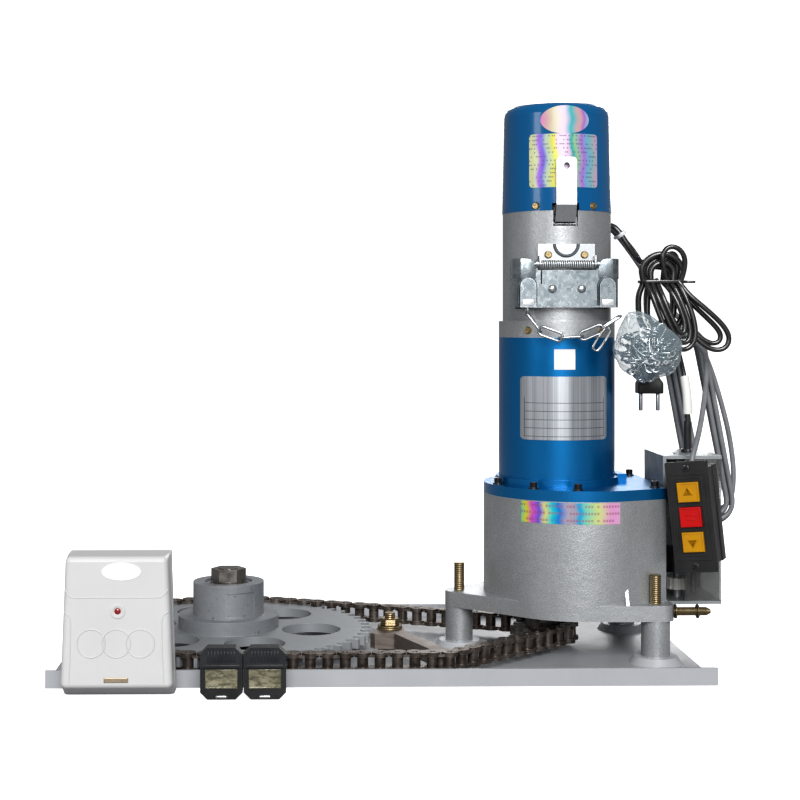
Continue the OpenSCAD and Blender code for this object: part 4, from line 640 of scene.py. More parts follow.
@dataclass(frozen=True)
class Film:
    """Thin clear film or plastic, with a painted highlight along its creases."""

    name: str
    colour: Colour
    alpha: tuple[float, float]
    crease: float
    rough: float = 0.12
    bump: float = 0.5
    depth: float = 0.002
    milk: float = 0.9
    painted_crease_highlight: Colour = (0.75, 0.83, 0.87)

    def make(self) -> bpy.types.Material:
        """Builds the material: see through where it is smooth, milky along its creases and edges, with a
        painted highlight along the creases.

        Returns:
            The material.
        """
        r = Recipe(self.name)
        ridges = r.noise(r.object_map, self.crease, detail=3.0, rough=0.6)
        line = r.span(r.off_middle(ridges), 0.0, 0.03, 1.0, 0.0)
        share = r.math("MAXIMUM", r.facing(), r.math("MULTIPLY", line, self.milk), clamp=True)
        # Painted highlight: the creases take the highlight colour.
        r.put(Base_Color=r.blend(line, self.colour, self.painted_crease_highlight), Roughness=self.rough)
        r.put(Alpha=r.span(share, 0.0, 1.0, *self.alpha), Coat_Weight=0.8, Coat_Roughness=0.05)
        r.bump(r.math("ADD", line, ridges), self.bump, self.depth)
        return r.material


@dataclass(frozen=True)
class Ruled:
    """Brushed plate with bright vertical streaks, a printed frame and plain ruled lines."""

    name: str = "ruled_nameplate"
    low: Point = (0.139, 0.0, 0.2115)
    size: Point = (0.084, 1.0, 0.061)
    dark: Colour = (0.27, 0.285, 0.31)
    light: Colour = (0.68, 0.71, 0.75)
    ink: Colour = (0.08, 0.08, 0.09)
    half_width: float = 0.46
    middle_up: float = 0.36
    half_height: float = 0.31
    lines: float = 7.6
    line_width: float = 0.09
    lines_start: float = 0.05
    edge_at: float = 0.457
    edge_width: float = 0.004

    def make(self) -> bpy.types.Material:
        """Builds the material on the plate's own place.

        Returns:
            The material.
        """
        r = Recipe(self.name)
        scale = tuple(1 / side for side in self.size)
        move = tuple(-start * by for start, by in zip(self.low, scale))
        across, _, up = r.parts(r.mapped(r.object_map, scale, move))
        streaks = r.noise(r.mapped(r.object_map, (1600, 1600, 3)), 1.0, detail=4.0, rough=0.7)
        broad = r.noise(r.mapped(r.object_map, (90, 90, 0.6)), 1.0, detail=2.0, rough=0.5)
        tone = r.math("ADD", r.math("MULTIPLY", streaks, 0.55), r.math("MULTIPLY", broad, 0.6))
        colour = r.blend(r.span(tone, 0.42, 0.72), self.dark, self.light)
        off = r.off_middle(across)
        inside = r.math("MULTIPLY", r.math("LESS_THAN", off, self.half_width),
                        r.math("LESS_THAN", r.off_middle(up, self.middle_up), self.half_height))
        row = r.math("FRACT", r.math("MULTIPLY", r.math("SUBTRACT", up, self.lines_start), self.lines))
        line = r.math("LESS_THAN", row, self.line_width)
        side = r.math("LESS_THAN", r.off_middle(off, self.edge_at), self.edge_width)
        printed = r.math("MULTIPLY", r.math("MAXIMUM", line, side), inside)
        colour = r.blend(r.math("MULTIPLY", printed, 0.75), colour, self.ink)
        r.put(Base_Color=colour, Roughness=r.span(tone, 0.3, 0.8, 0.42, 0.26), Metallic=0.8)
        r.bump(streaks, 0.08, 0.0002)
        return r.material


RAINBOW = (
    (0.0, (0.75, 0.78, 0.45)), (0.1, (0.62, 0.66, 0.42)), (0.15, (0.42, 0.2, 0.75)), (0.2, (0.3, 0.25, 0.8)),
    (0.26, (0.6, 0.75, 0.62)), (0.37, (0.82, 0.8, 0.12)), (0.41, (0.9, 0.65, 0.75)), (0.5, (0.8, 0.68, 0.85)),
    (0.56, (0.82, 0.62, 0.8)), (0.6, (0.05, 0.5, 0.5)), (0.65, (0.4, 0.68, 0.4)), (0.76, (0.55, 0.3, 0.8)),
    (0.82, (0.3, 0.55, 0.8)), (0.9, (0.35, 0.6, 0.6)), (1.0, (0.75, 0.5, 0.65)))
SPECTRUM = (
    (0.0, (0.25, 0.75, 0.45)), (0.06, (0.8, 0.75, 0.1)), (0.12, (0.8, 0.2, 0.6)), (0.2, (0.25, 0.2, 0.8)),
    (0.26, (0.8, 0.78, 0.3)), (0.33, (0.1, 0.7, 0.75)), (0.4, (0.1, 0.3, 0.75)), (0.48, (0.5, 0.45, 0.55)),
    (0.55, (0.45, 0.4, 0.5)), (0.6, (0.05, 0.45, 0.75)), (0.66, (0.3, 0.7, 0.55)), (0.78, (0.72, 0.8, 0.35)),
    (0.9, (0.85, 0.45, 0.7)), (1.0, (0.85, 0.5, 0.75)))
BURST = (
    (0.0, (0.8, 0.35, 0.6)), (0.25, (0.75, 0.7, 0.5)), (0.5, (0.75, 0.6, 0.75)), (0.62, (0.1, 0.55, 0.6)),
    (0.8, (0.85, 0.5, 0.5)), (0.88, (0.5, 0.3, 0.75)), (1.0, (0.6, 0.75, 0.8)))


class Shop:
    """All the finishes by name, each made the first time that it is asked for."""

    recipes: dict[str, object] = {}
    made: dict[str, bpy.types.Material] = {}

    @classmethod
    def stock(cls, *recipes: object) -> None:
        """Puts finishes on the shelf."""
        for recipe in recipes:
            cls.recipes[recipe.name] = recipe

    @classmethod
    def get(cls, name: str) -> bpy.types.Material:
        """Gives the material of that name."""
        if name not in cls.made:
            cls.made[name] = cls.recipes[name].make()
        return cls.made[name]


def stock_paints_and_metals() -> None:
    """Lists the painted, coated and bare metal finishes."""
    Shop.stock(
        Finish("plate_paint", (0.43, 0.44, 0.46), (0.34, 0.35, 0.37), 0.1, (0.3, 0.5), 14, 0.3, 800, 0.1,
               wear=(0.75, 0.76, 0.77), reach=0.08, soil=(0.35, 0.32, 0.28), soil_amount=0.12, coat=0.25),
        Finish("hub_paint", (0.27, 0.285, 0.3), (0.19, 0.2, 0.215), 0.3, (0.38, 0.6), 28, 0.4, 420, 0.35,
               0.0006, wear=(0.62, 0.63, 0.64), soil=(0.05, 0.045, 0.04), soil_scale=260, soil_amount=0.5),
        Finish("wheel_paint", (0.31, 0.325, 0.34), (0.24, 0.255, 0.27), 0.35, (0.36, 0.52), 16, 0.3, 650,
               0.18, wear=(0.66, 0.67, 0.68), soil=(0.2, 0.18, 0.16), soil_scale=120, soil_amount=0.1),
        Finish("cap_gloss", (0.0, 0.1, 0.26), (0.0, 0.085, 0.22), 0.0, (0.2, 0.26), 12, 0.2, 300, 0.03,
               coat=0.25, coat_rough=0.06, soil=(0.1, 0.2, 0.4), soil_amount=0.02,
               extra={"Specular IOR Level": 0.35}),
        Finish("chain_steel", (0.075, 0.06, 0.05), (0.16, 0.135, 0.12), 0.8, (0.25, 0.5), 110, 0.5, 700, 0.2,
               wear=(0.42, 0.37, 0.33), reach=0.05, soil=(0.03, 0.025, 0.02), soil_scale=200,
               soil_amount=0.35),
        Finish("pawl_steel", (0.14, 0.115, 0.10), (0.21, 0.18, 0.165), 0.7, (0.35, 0.6), 60, 0.5, 500, 0.3,
               stretch=(1, 1, 6), wear=(0.4, 0.36, 0.33), soil=(0.05, 0.04, 0.035), soil_amount=0.4),
        Finish("greasy_steel", (0.12, 0.11, 0.10), (0.22, 0.205, 0.19), 0.75, (0.2, 0.5), 70, 0.5, 500, 0.3,
               wear=(0.45, 0.43, 0.4), soil=(0.04, 0.035, 0.03), soil_amount=0.5),
        Finish("ground_steel", (0.55, 0.56, 0.58), (0.42, 0.43, 0.45), 0.95, (0.2, 0.34), 60, 0.4, 900, 0.1,
               wear=(0.7, 0.71, 0.72)),
        Finish("black_oxide", (0.012, 0.012, 0.013), (0.03, 0.03, 0.032), 0.5, (0.22, 0.4), 90, 0.4, 700, 0.2,
               wear=(0.3, 0.3, 0.3)),
        Finish("copper_winding", (0.42, 0.16, 0.05), (0.6, 0.27, 0.1), 0.8, (0.3, 0.5), 90, 0.5, 500, 0.4,
               stretch=(1, 1, 8)),
        Finish("yellow_zinc", (0.3, 0.2, 0.075), (0.46, 0.34, 0.16), 0.9, (0.22, 0.42), 130, 0.4, 700, 0.15,
               wear=(0.7, 0.6, 0.4), soil=(0.1, 0.075, 0.04), soil_amount=0.5),
        Finish("dull_brass", (0.30, 0.24, 0.17), (0.4, 0.33, 0.24), 0.5, (0.35, 0.5), 400, 0.4, 900, 0.2),
        Finish("bright_zinc", (0.56, 0.58, 0.59), (0.4, 0.42, 0.44), 0.95, (0.24, 0.38), 50, 0.3, 900, 0.06,
               stretch=(6, 6, 1), wear=(0.95, 0.95, 0.95)),
        Finish("bracket_zinc", (0.38, 0.4, 0.41), (0.26, 0.28, 0.29), 0.6, (0.32, 0.5), 40, 0.3, 700, 0.15,
               wear=(0.8, 0.81, 0.82), soil=(0.3, 0.28, 0.25), soil_amount=0.1),
        Finish("chain_zinc", (0.5, 0.51, 0.52), (0.3, 0.32, 0.33), 0.95, (0.15, 0.3), 300, 0.4, 900, 0.08),
        # painted_shade_zinc is a dark zinc that stands for shade round the guard's tongues, in the bracket's
        # notch and inside the spring.
        Finish("painted_shade_zinc", (0.07, 0.085, 0.095), (0.12, 0.14, 0.15), 0.7, (0.3, 0.5), 120, 0.4, 900, 0.1),
        Finish("polished_zinc", (0.85, 0.87, 0.88), (0.7, 0.73, 0.75), 0.6, (0.22, 0.34), 60, 0.3, 900, 0.05),
        Finish("bag_zinc", (0.6, 0.64, 0.67), (0.3, 0.34, 0.37), 0.95, (0.16, 0.32), 300, 0.4, 900, 0.08),
        Spangle(), Hammered(), FlakeBlue(), Ruled(),
        Threaded("thread_upright", 2, 0.0019), Threaded("thread_along", 0, 0.0011))


def stock_plastics_and_prints() -> None:
    """Lists the finishes of plastic, rubber, paper, foil and film."""
    matt = {"Specular IOR Level": 0.25}
    Shop.stock(
        Finish("black_plastic", (0.010, 0.010, 0.011), (0.017, 0.017, 0.018), 0.0, (0.34, 0.46), 40, 0.4,
               1400, 0.2, 0.0003, wear=(0.07, 0.07, 0.075), reach=0.05),
        Finish("ribbed_plastic", (0.012, 0.013, 0.016), (0.02, 0.021, 0.024), 0.0, (0.3, 0.42), 60, 0.4, 1200,
               0.15),
        Finish("case_plastic", (0.56, 0.56, 0.56), (0.52, 0.52, 0.52), 0.0, (0.36, 0.46), 20, 0.3, 1300, 0.12,
               0.0003, soil=(0.5, 0.49, 0.46), soil_amount=0.05),
        Finish("pale_plastic", (0.78, 0.78, 0.74), (0.7, 0.7, 0.66), 0.0, (0.35, 0.45), 60, 0.3, 900, 0.1),
        Finish("tie_nylon", (0.72, 0.74, 0.76), (0.6, 0.62, 0.65), 0.0, (0.3, 0.4), 90, 0.3, 900, 0.1),
        Finish("button_yellow", (0.5, 0.25, 0.004), (0.42, 0.2, 0.004), 0.0, (0.4, 0.5), 90, 0.3, 1200, 0.15,
               0.0003, extra=matt),
        Finish("button_red", (0.5, 0.006, 0.006), (0.42, 0.005, 0.005), 0.0, (0.4, 0.5), 90, 0.3, 1200, 0.15,
               0.0003, extra=matt),
        Finish("black_sheath", (0.012, 0.012, 0.013), (0.02, 0.02, 0.021), 0.0, (0.26, 0.38), 60, 0.4, 800,
               0.12, coat=0.9, coat_rough=0.12),
        Finish("grey_sheath", (0.16, 0.165, 0.175), (0.21, 0.215, 0.225), 0.0, (0.36, 0.5), 60, 0.4, 800,
               0.15, coat=0.15, coat_rough=0.3),
        Finish("red_lamp", (0.28, 0.01, 0.01), (0.2, 0.005, 0.005), 0.0, (0.12, 0.2), 90, 0.3, 600, 0.02,
               coat=0.8),
        Finish("olive_window", (0.1, 0.095, 0.06), (0.3, 0.28, 0.19), 0.35, (0.22, 0.34), 160, 0.6, 900, 0.08,
               stretch=(1, 1, 2.4), coat=0.5),
        Finish("white_paper", (0.82, 0.81, 0.80), (0.76, 0.75, 0.75), 0.0, (0.6, 0.75), 120, 0.3, 900, 0.15),
        Foil("cap_foil", RAINBOW, 40, 13, 0.42, (0.1, 0.09, 0.16), 0.8),
        Foil("oval_foil", BURST, 30, 10, 0.0),
        Foil("strip_foil", SPECTRUM, 34, 3, 0.75, (0.25, 0.06, 0.12), 0.55, 0.01),
        # bag_film's last colour is the painted highlight along its creases.
        Film("bag_film", (0.3, 0.38, 0.42), (0.3, 0.78), 30, 0.12, 0.7, 0.004, 0.7, (0.85, 0.91, 0.94)),
        Film("smoky_cover", (0.12, 0.122, 0.122), (0.45, 0.8), 8, 0.1, 0.02, 0.0001, 0.0,
             (0.12, 0.122, 0.122)))


# Modelling by hand: short calls around the operators


def let_go() -> None:
    """Leaves edit mode and deselects everything, so that an operator acts on the next piece alone."""
    if bpy.context.object is not None and bpy.context.object.mode != "OBJECT":
        bpy.ops.object.mode_set(mode="OBJECT")
    bpy.ops.object.select_all(action="DESELECT")


def take(piece: Piece) -> None:
    """Selects this piece alone, as the active one."""
    let_go()
    piece.select_set(True)
    bpy.context.view_layer.objects.active = piece


def anywhere(at: Vector, way: Vector) -> bool:
    """Picks every element."""
    return True


def in_front(at: Vector, way: Vector) -> bool:
    """Picks the faces that look to the front."""
    return way.y < -0.9


@contextmanager
def editing(piece: Piece, test: Test = anywhere, kind: Pick = Pick.FACE) -> Iterator[None]:
    """Opens a piece for editing with the wanted elements selected, and leaves edit mode afterwards.

    Args:
        piece: The piece to edit.
        test: Says yes or no to an element's middle and its normal (an edge's direction).
        kind: What is selected.

    Yields:
        Nothing; the operators inside act on the selection.
    """
    take(piece)
    mesh = piece.data
    bpy.ops.object.mode_set(mode="EDIT")
    bpy.ops.mesh.select_mode(type=kind.value)
    bpy.ops.mesh.select_all(action="DESELECT")
    bpy.ops.object.mode_set(mode="OBJECT")
    if kind is Pick.FACE:
        for face in mesh.polygons:
            face.select = test(face.center, face.normal)
    elif kind is Pick.EDGE:
        for edge in mesh.edges:
            a, b = (mesh.vertices[i].co for i in edge.vertices)
            edge.select = test((a + b) / 2, (b - a).normalized())
    else:
        for vert in mesh.vertices:
            vert.select = test(vert.co, vert.normal)
    bpy.ops.object.mode_set(mode="EDIT")
    yield
    bpy.ops.object.mode_set(mode="OBJECT")


def named(name: str, scale: Optional[Point] = None) -> Piece:
    """Names the primitive that was just added and puts its scale and place into its mesh.

    Args:
        name: The piece's name.
        scale: Its scale along each axis.

    Returns:
        The piece.
    """
    piece = bpy.context.object
    if scale:
        piece.scale = scale
    piece.name = piece.data.name = name
    bpy.ops.object.transform_apply(location=True, rotation=True, scale=True)
    return piece


def block(name: str, low: Point, high: Point, bevel: float = 0.0, segments: int = 3) -> Piece:
    """Makes a block between two corners, with its edges rounded.

    Args:
        name: The piece's name.
        low: Its lowest corner.
        high: Its highest corner.
        bevel: The rounding's radius.
        segments: The rounding's steps.

    Returns:
        The block.
    """
    let_go()
    middle = [(a + b) / 2 for a, b in zip(low, high)]
    bpy.ops.mesh.primitive_cube_add(size=1, location=middle)
    piece = named(name, [b - a for a, b in zip(low, high)])
    if bevel:
        with editing(piece, kind=Pick.EDGE):
            bpy.ops.mesh.bevel(offset=bevel, segments=segments, profile=0.5)
    return piece


def turned(name: str, at: Point, radius: float, height: float, axis: Axis = Axis.Z, sides: int = 48,
           bevel: float = 0.0) -> Piece:
    """Makes a round piece about an axis through its middle, with its rims rounded.

    Args:
        name: The piece's name.
        at: Its middle.
        radius: Its radius.
        height: Its length along the axis.
        axis: The way that its axis points.
        sides: How many sides the round has.
        bevel: The rounding's radius.

    Returns:
        The piece.
    """
    let_go()
    bpy.ops.mesh.primitive_cylinder_add(vertices=sides, radius=radius, depth=height, location=at,
                                        rotation=axis.value)
    piece = named(name)
    if bevel:
        along = Euler(axis.value).to_matrix() @ Vector((0, 0, 1))
        with editing(piece, lambda middle, run: abs(run.dot(along)) < 0.5, Pick.EDGE):
            bpy.ops.mesh.bevel(offset=bevel, segments=3, profile=0.5)
    return piece


def torus(name: str, at: Point, radius: float, wire: float, axis: Axis = Axis.Z, sides: int = 32) -> Piece:
    """Makes a ring of round wire.

    Args:
        name: The ring's name.
        at: Its middle.
        radius: Its radius to the wire's middle.
        wire: The wire's radius.
        axis: The way that its axis points.
        sides: How many sides the ring has.

    Returns:
        The ring.
    """
    let_go()
    bpy.ops.mesh.primitive_torus_add(location=at, rotation=axis.value, major_radius=radius,
                                     minor_radius=wire, major_segments=sides, minor_segments=10)
    return named(name)


def dome(name: str, at: Point, radius: float, flat: float, behind: float) -> Piece:
    """Makes a low dome that looks to the front.

    Args:
        name: The dome's name.
        at: Its middle.
        radius: Its radius.
        flat: Its depth as a share of its radius.
        behind: Where it is cut off at the back.

    Returns:
        The dome.
    """
    let_go()
    bpy.ops.mesh.primitive_uv_sphere_add(segments=32, ring_count=16, radius=radius, location=at)
    piece = named(name, (1, flat, 1))
    return opened(piece, lambda middle, way: middle.y > behind)


def sheet(name: str, at: Point, width: float, height: float) -> Piece:
    """Makes a flat upright sheet that looks to the front.

    Args:
        name: The sheet's name.
        at: Its middle.
        width: Its width.
        height: Its height.

    Returns:
        The sheet.
    """
    let_go()
    bpy.ops.mesh.primitive_plane_add(size=1, location=at, rotation=Axis.Y.value)
    return named(name, (width, height, 1))


def change(piece: Piece, kind: str, **settings: object) -> Piece:
    """Adds a modifier and applies it.

    Args:
        piece: The piece.
        kind: The modifier's type.
        settings: Its settings.

    Returns:
        The piece.
    """
    take(piece)
    made = piece.modifiers.new(kind.lower(), kind)
    for key, value in settings.items():
        setattr(made, key, value)
    bpy.ops.object.modifier_apply(modifier=made.name)
    return piece


def softened(piece: Piece, width: float, segments: int = 2, limit: float = 30.0) -> Piece:
    """Rounds a piece's sharp edges.

    Args:
        piece: The piece.
        width: The rounding's width.
        segments: Its steps.
        limit: The angle in degrees from which an edge is sharp.

    Returns:
        The piece.
    """
    return change(piece, "BEVEL", width=width, segments=segments, limit_method="ANGLE",
                  angle_limit=math.radians(limit))


def opened(piece: Piece, test: Test) -> Piece:
    """Deletes the faces that a test picks, and gives the piece back."""
    with editing(piece, test):
        bpy.ops.mesh.delete(type="FACE")
    return piece


def stepped(piece: Piece, edge: float, depth: float, test: Test = in_front) -> Piece:
    """Sinks a piece's front inside a narrow edge.

    Args:
        piece: The piece.
        edge: The width of the edge that stays.
        depth: How far the front goes in; below zero it stands out.
        test: Picks the front.

    Returns:
        The piece.
    """
    with editing(piece, test):
        bpy.ops.mesh.inset(thickness=edge)
        bpy.ops.mesh.extrude_region_move(TRANSFORM_OT_translate={"value": (0, depth, 0)})
    return piece


def framed(piece: Piece, width: float, thick: float, soft: float = 0.0002) -> Piece:
    """Turns a flat sheet into a narrow frame with softened edges.

    Args:
        piece: The sheet.
        width: The frame's width.
        thick: Its thickness.
        soft: The width of its rounded edges.

    Returns:
        The frame.
    """
    with editing(piece):
        bpy.ops.mesh.inset(thickness=width)
        bpy.ops.mesh.delete(type="FACE")
    return softened(change(piece, "SOLIDIFY", thickness=thick, offset=1), soft)


def sliced(piece: Piece, start: float, end: float, strips: int) -> Piece:
    """Cuts a flat piece into upright strips, so that it can follow a round skin.

    Args:
        piece: The flat piece.
        start: Its left edge.
        end: Its right edge.
        strips: How many strips it gets.

    Returns:
        The piece.
    """
    for k in range(1, strips):
        with editing(piece):
            bpy.ops.mesh.bisect(plane_co=(start + (end - start) * k / strips, 0, 0), plane_no=(1, 0, 0))
    return piece


def foiled(piece: Piece, radius_at: Callable[[float], float], middle: float = MOTOR_X) -> Piece:
    """Lays a flat upright piece round an upright axis and makes it as thick as foil.

    Its x becomes the way round, its y the depth below the skin.

    Args:
        piece: The flat piece.
        radius_at: The skin's radius at a height.
        middle: The axis's x.

    Returns:
        The piece.
    """
    for vert in piece.data.vertices:
        reach = radius_at(vert.co.z)
        angle = vert.co.x / reach
        out = reach - vert.co.y
        vert.co = Vector((middle + out * math.sin(angle), -out * math.cos(angle), vert.co.z))
    piece.data.update()
    return change(piece, "SOLIDIFY", thickness=FOIL_THICK, offset=1)


def held(value: float, low: float = -1.0, high: float = 1.0) -> float:
    """Holds a number between two ends."""
    return max(low, min(high, value))


def drawn_out(ring: Piece, along: int, reach: float, ease: float = 0.002) -> Piece:
    """Draws a ring out into a long link.

    Args:
        ring: The ring.
        along: The coordinate that grows.
        reach: How far each end moves out.
        ease: How far from the middle the full reach starts.

    Returns:
        The link.
    """
    for vert in ring.data.vertices:
        vert.co[along] += reach * held(vert.co[along] / ease)
    return ring


def joined(name: str, pieces: Sequence[Piece]) -> Piece:
    """Joins pieces into one mesh.

    Args:
        name: The whole's name.
        pieces: The pieces.

    Returns:
        The whole.
    """
    take(pieces[0])
    for piece in pieces:
        piece.select_set(True)
    bpy.ops.object.join()
    whole = bpy.context.object
    whole.name = whole.data.name = name
    return whole


def moved(piece: Piece, matrix: Matrix) -> Piece:
    """Moves a piece's mesh by a matrix.

    Args:
        piece: The piece.
        matrix: The move.

    Returns:
        The piece.
    """
    piece.data.transform(matrix)
    piece.data.update()
    return piece


def shifted(piece: Piece, by: Point) -> Piece:
    """Moves a piece's mesh without turning it."""
    return moved(piece, Matrix.Translation(by))


def turn_about(axis: str, degrees: float) -> Matrix:
    """Gives the turn about an axis through the origin."""
    return Matrix.Rotation(math.radians(degrees), 4, axis)


def hand_over(piece: Piece, body: str, finish: str, replaces: Sequence[str] = (),
              smooth: float = 35.0) -> Piece:
    """Shades a piece, gives it its finish and lets it ride on its body.

    Args:
        piece: The finished piece.
        body: The CAD body that it moves with.
        finish: The finish's name.
        replaces: CAD nodes that it stands for.
        smooth: The angle below which edges are shaded smooth, in degrees.

    Returns:
        The piece.
    """
    if piece.type == "MESH":
        take(piece)
        bpy.ops.object.shade_smooth_by_angle(angle=math.radians(smooth))
    piece.data.materials.clear()
    piece.data.materials.append(Shop.get(finish))
    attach(piece, body)
    if replaces:
        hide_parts(*replaces)
    let_go()
    LOG.info("%s rides on %s, finish %s", piece.name, body, finish)
    return piece


# Routes of the cords, as in the part's source, in millimetres


def curve_through(points: Sequence[Point], steps: int) -> list[Vector]:
    """Runs a smooth line through points.

    Args:
        points: The points of the route.
        steps: How many pieces each stretch is cut into.

    Returns:
        The points of the smooth line.
    """
    route = [Vector(point) for point in points]
    line = []
    last = len(route) - 1
    for i in range(last):
        a, b, c, d = route[max(i - 1, 0)], route[i], route[i + 1], route[min(i + 2, last)]
        for j in range(steps):
            t = j / steps
            square = (2 * a - 5 * b + 4 * c - d) * t ** 2
            cube = (3 * b - a - 3 * c + d) * t ** 3
            line.append(0.5 * (2 * b + (c - a) * t + square + cube))
    return line + [route[last]]


def eased(points: Sequence[Vector], spacing: float = 3.0, rounds: int = 6) -> list[Vector]:
    """Spaces a line evenly and eases the kinks where its stretches meet.

    Args:
        points: The line's points.
        spacing: The distance between the new points.
        rounds: How many times the kinks are eased.

    Returns:
        The new points.
    """
    lengths = [0.0]
    for a, b in zip(points, points[1:]):
        lengths.append(lengths[-1] + (b - a).length)
    count = max(2, round(lengths[-1] / spacing))
    line, place = [], 0
    for k in range(count + 1):
        want = lengths[-1] * k / count
        while place < len(points) - 2 and lengths[place + 1] < want:
            place += 1
        share = (want - lengths[place]) / max(lengths[place + 1] - lengths[place], 1e-9)
        line.append(points[place].lerp(points[place + 1], held(share, 0.0, 1.0)))
    for _ in range(rounds):
        inner = [(a + 2 * b + c) / 4 for a, b, c in zip(line, line[1:], line[2:])]
        line = [line[0], *inner, line[-1]]
    return line


def tube(name: str, points: Sequence[Vector], radius: float, sides: int = 4) -> Piece:
    """Makes a round cord as a curve.

    Args:
        name: The piece's name.
        points: Its route in millimetres.
        radius: Its radius in millimetres.
        sides: The roundness of the cross section.

    Returns:
        The curve object.
    """
    curve = bpy.data.curves.new(name, "CURVE")
    curve.dimensions = "3D"
    curve.bevel_depth = radius * MM
    curve.bevel_resolution = sides
    curve.use_fill_caps = True
    spline = curve.splines.new("POLY")
    spline.points.add(len(points) - 1)
    for target, point in zip(spline.points, points):
        target.co = (*(point * MM), 1)
    spline.use_smooth = True
    piece = bpy.data.objects.new(name, curve)
    bpy.context.scene.collection.objects.link(piece)
    return piece


@dataclass(frozen=True)
class Hank:
    """A cord's loops: round ends and straight runs, spiralling out in one layer and in again in the next."""

    centre: Point
    tilt: float
    half_w: float
    half_h: float
    step: float
    layer: float
    start: float
    end: float
    draw: float = 0.0
    waist_w: float = 0.0
    waist_reach: float = 1.0
    rings: int = 48

    def stadium(self, f: float, w: float, h: float) -> tuple[float, float]:
        """Gives a place on one loop: half an end, a straight run, an end, a straight run, half an end.

        Args:
            f: The share of the turn that is done, from the middle of the lower end.
            w: Half the loop's width.
            h: Half its height.

        Returns:
            The place across and up.
        """
        sixths = 6 * f
        straight = h - w
        if 1 <= sixths < 2:
            return -w, straight * (2 * sixths - 3)
        if 4 <= sixths < 5:
            return w, straight * (9 - 2 * sixths)
        upper = 2 <= sixths < 4
        start = 360 if upper else 270 if sixths < 1 else 450
        angle = math.radians(start - 90 * sixths)
        return w * math.cos(angle), (straight if upper else -straight) + w * math.sin(angle)

    def points(self) -> list[Vector]:
        """Gives the loops' points.

        Returns:
            The points in order, in millimetres.
        """
        line = []
        tilt = math.radians(self.tilt)
        for j in range(round(self.start * self.rings), round(self.end * self.rings) + 1):
            t = j / self.rings
            out = min(t - self.start, self.end - t) * self.step
            u, w = self.stadium(t - math.floor(t), self.half_w + out, self.half_h + out)
            off = abs(w - self.waist_w)
            if off <= self.waist_reach:
                u *= 1 - self.draw * math.cos(QUARTER * off / self.waist_reach) ** 2
            y = self.layer * held((t - (self.start + self.end) / 2) * 2 + 0.5, 0.0, 1.0)
            across = u * math.cos(tilt) - w * math.sin(tilt)
            up = u * math.sin(tilt) + w * math.cos(tilt)
            line.append(Vector(self.centre) + Vector((across, y, up)))
        return line


@dataclass(frozen=True)
class Band:
    """A flat band with round ends that holds cords together."""

    name: str
    at: Point
    turn: float
    size: tuple[float, float]
    thick: float
    wide: float

    def make(self) -> Piece:
        """Makes the band from an open cylinder.

        Returns:
            The band.
        """
        let_go()
        bpy.ops.mesh.primitive_cylinder_add(vertices=48, radius=1, depth=self.wide, end_fill_type="NOTHING")
        piece = named(self.name)
        end_r = min(self.size) / 2
        longer = 0 if self.size[0] > self.size[1] else 1
        for vert in piece.data.vertices:
            angle = math.atan2(vert.co.y, vert.co.x)
            place = [math.cos(angle) * end_r, math.sin(angle) * end_r]
            place[longer] += (self.size[longer] / 2 - end_r) * held(3 * place[longer] / end_r)
            vert.co.x, vert.co.y = place
        softened(change(piece, "SOLIDIFY", thickness=-self.thick, offset=-1), 0.0004)
        return moved(piece, Matrix.Translation(self.at) @ turn_about("Y", self.turn))


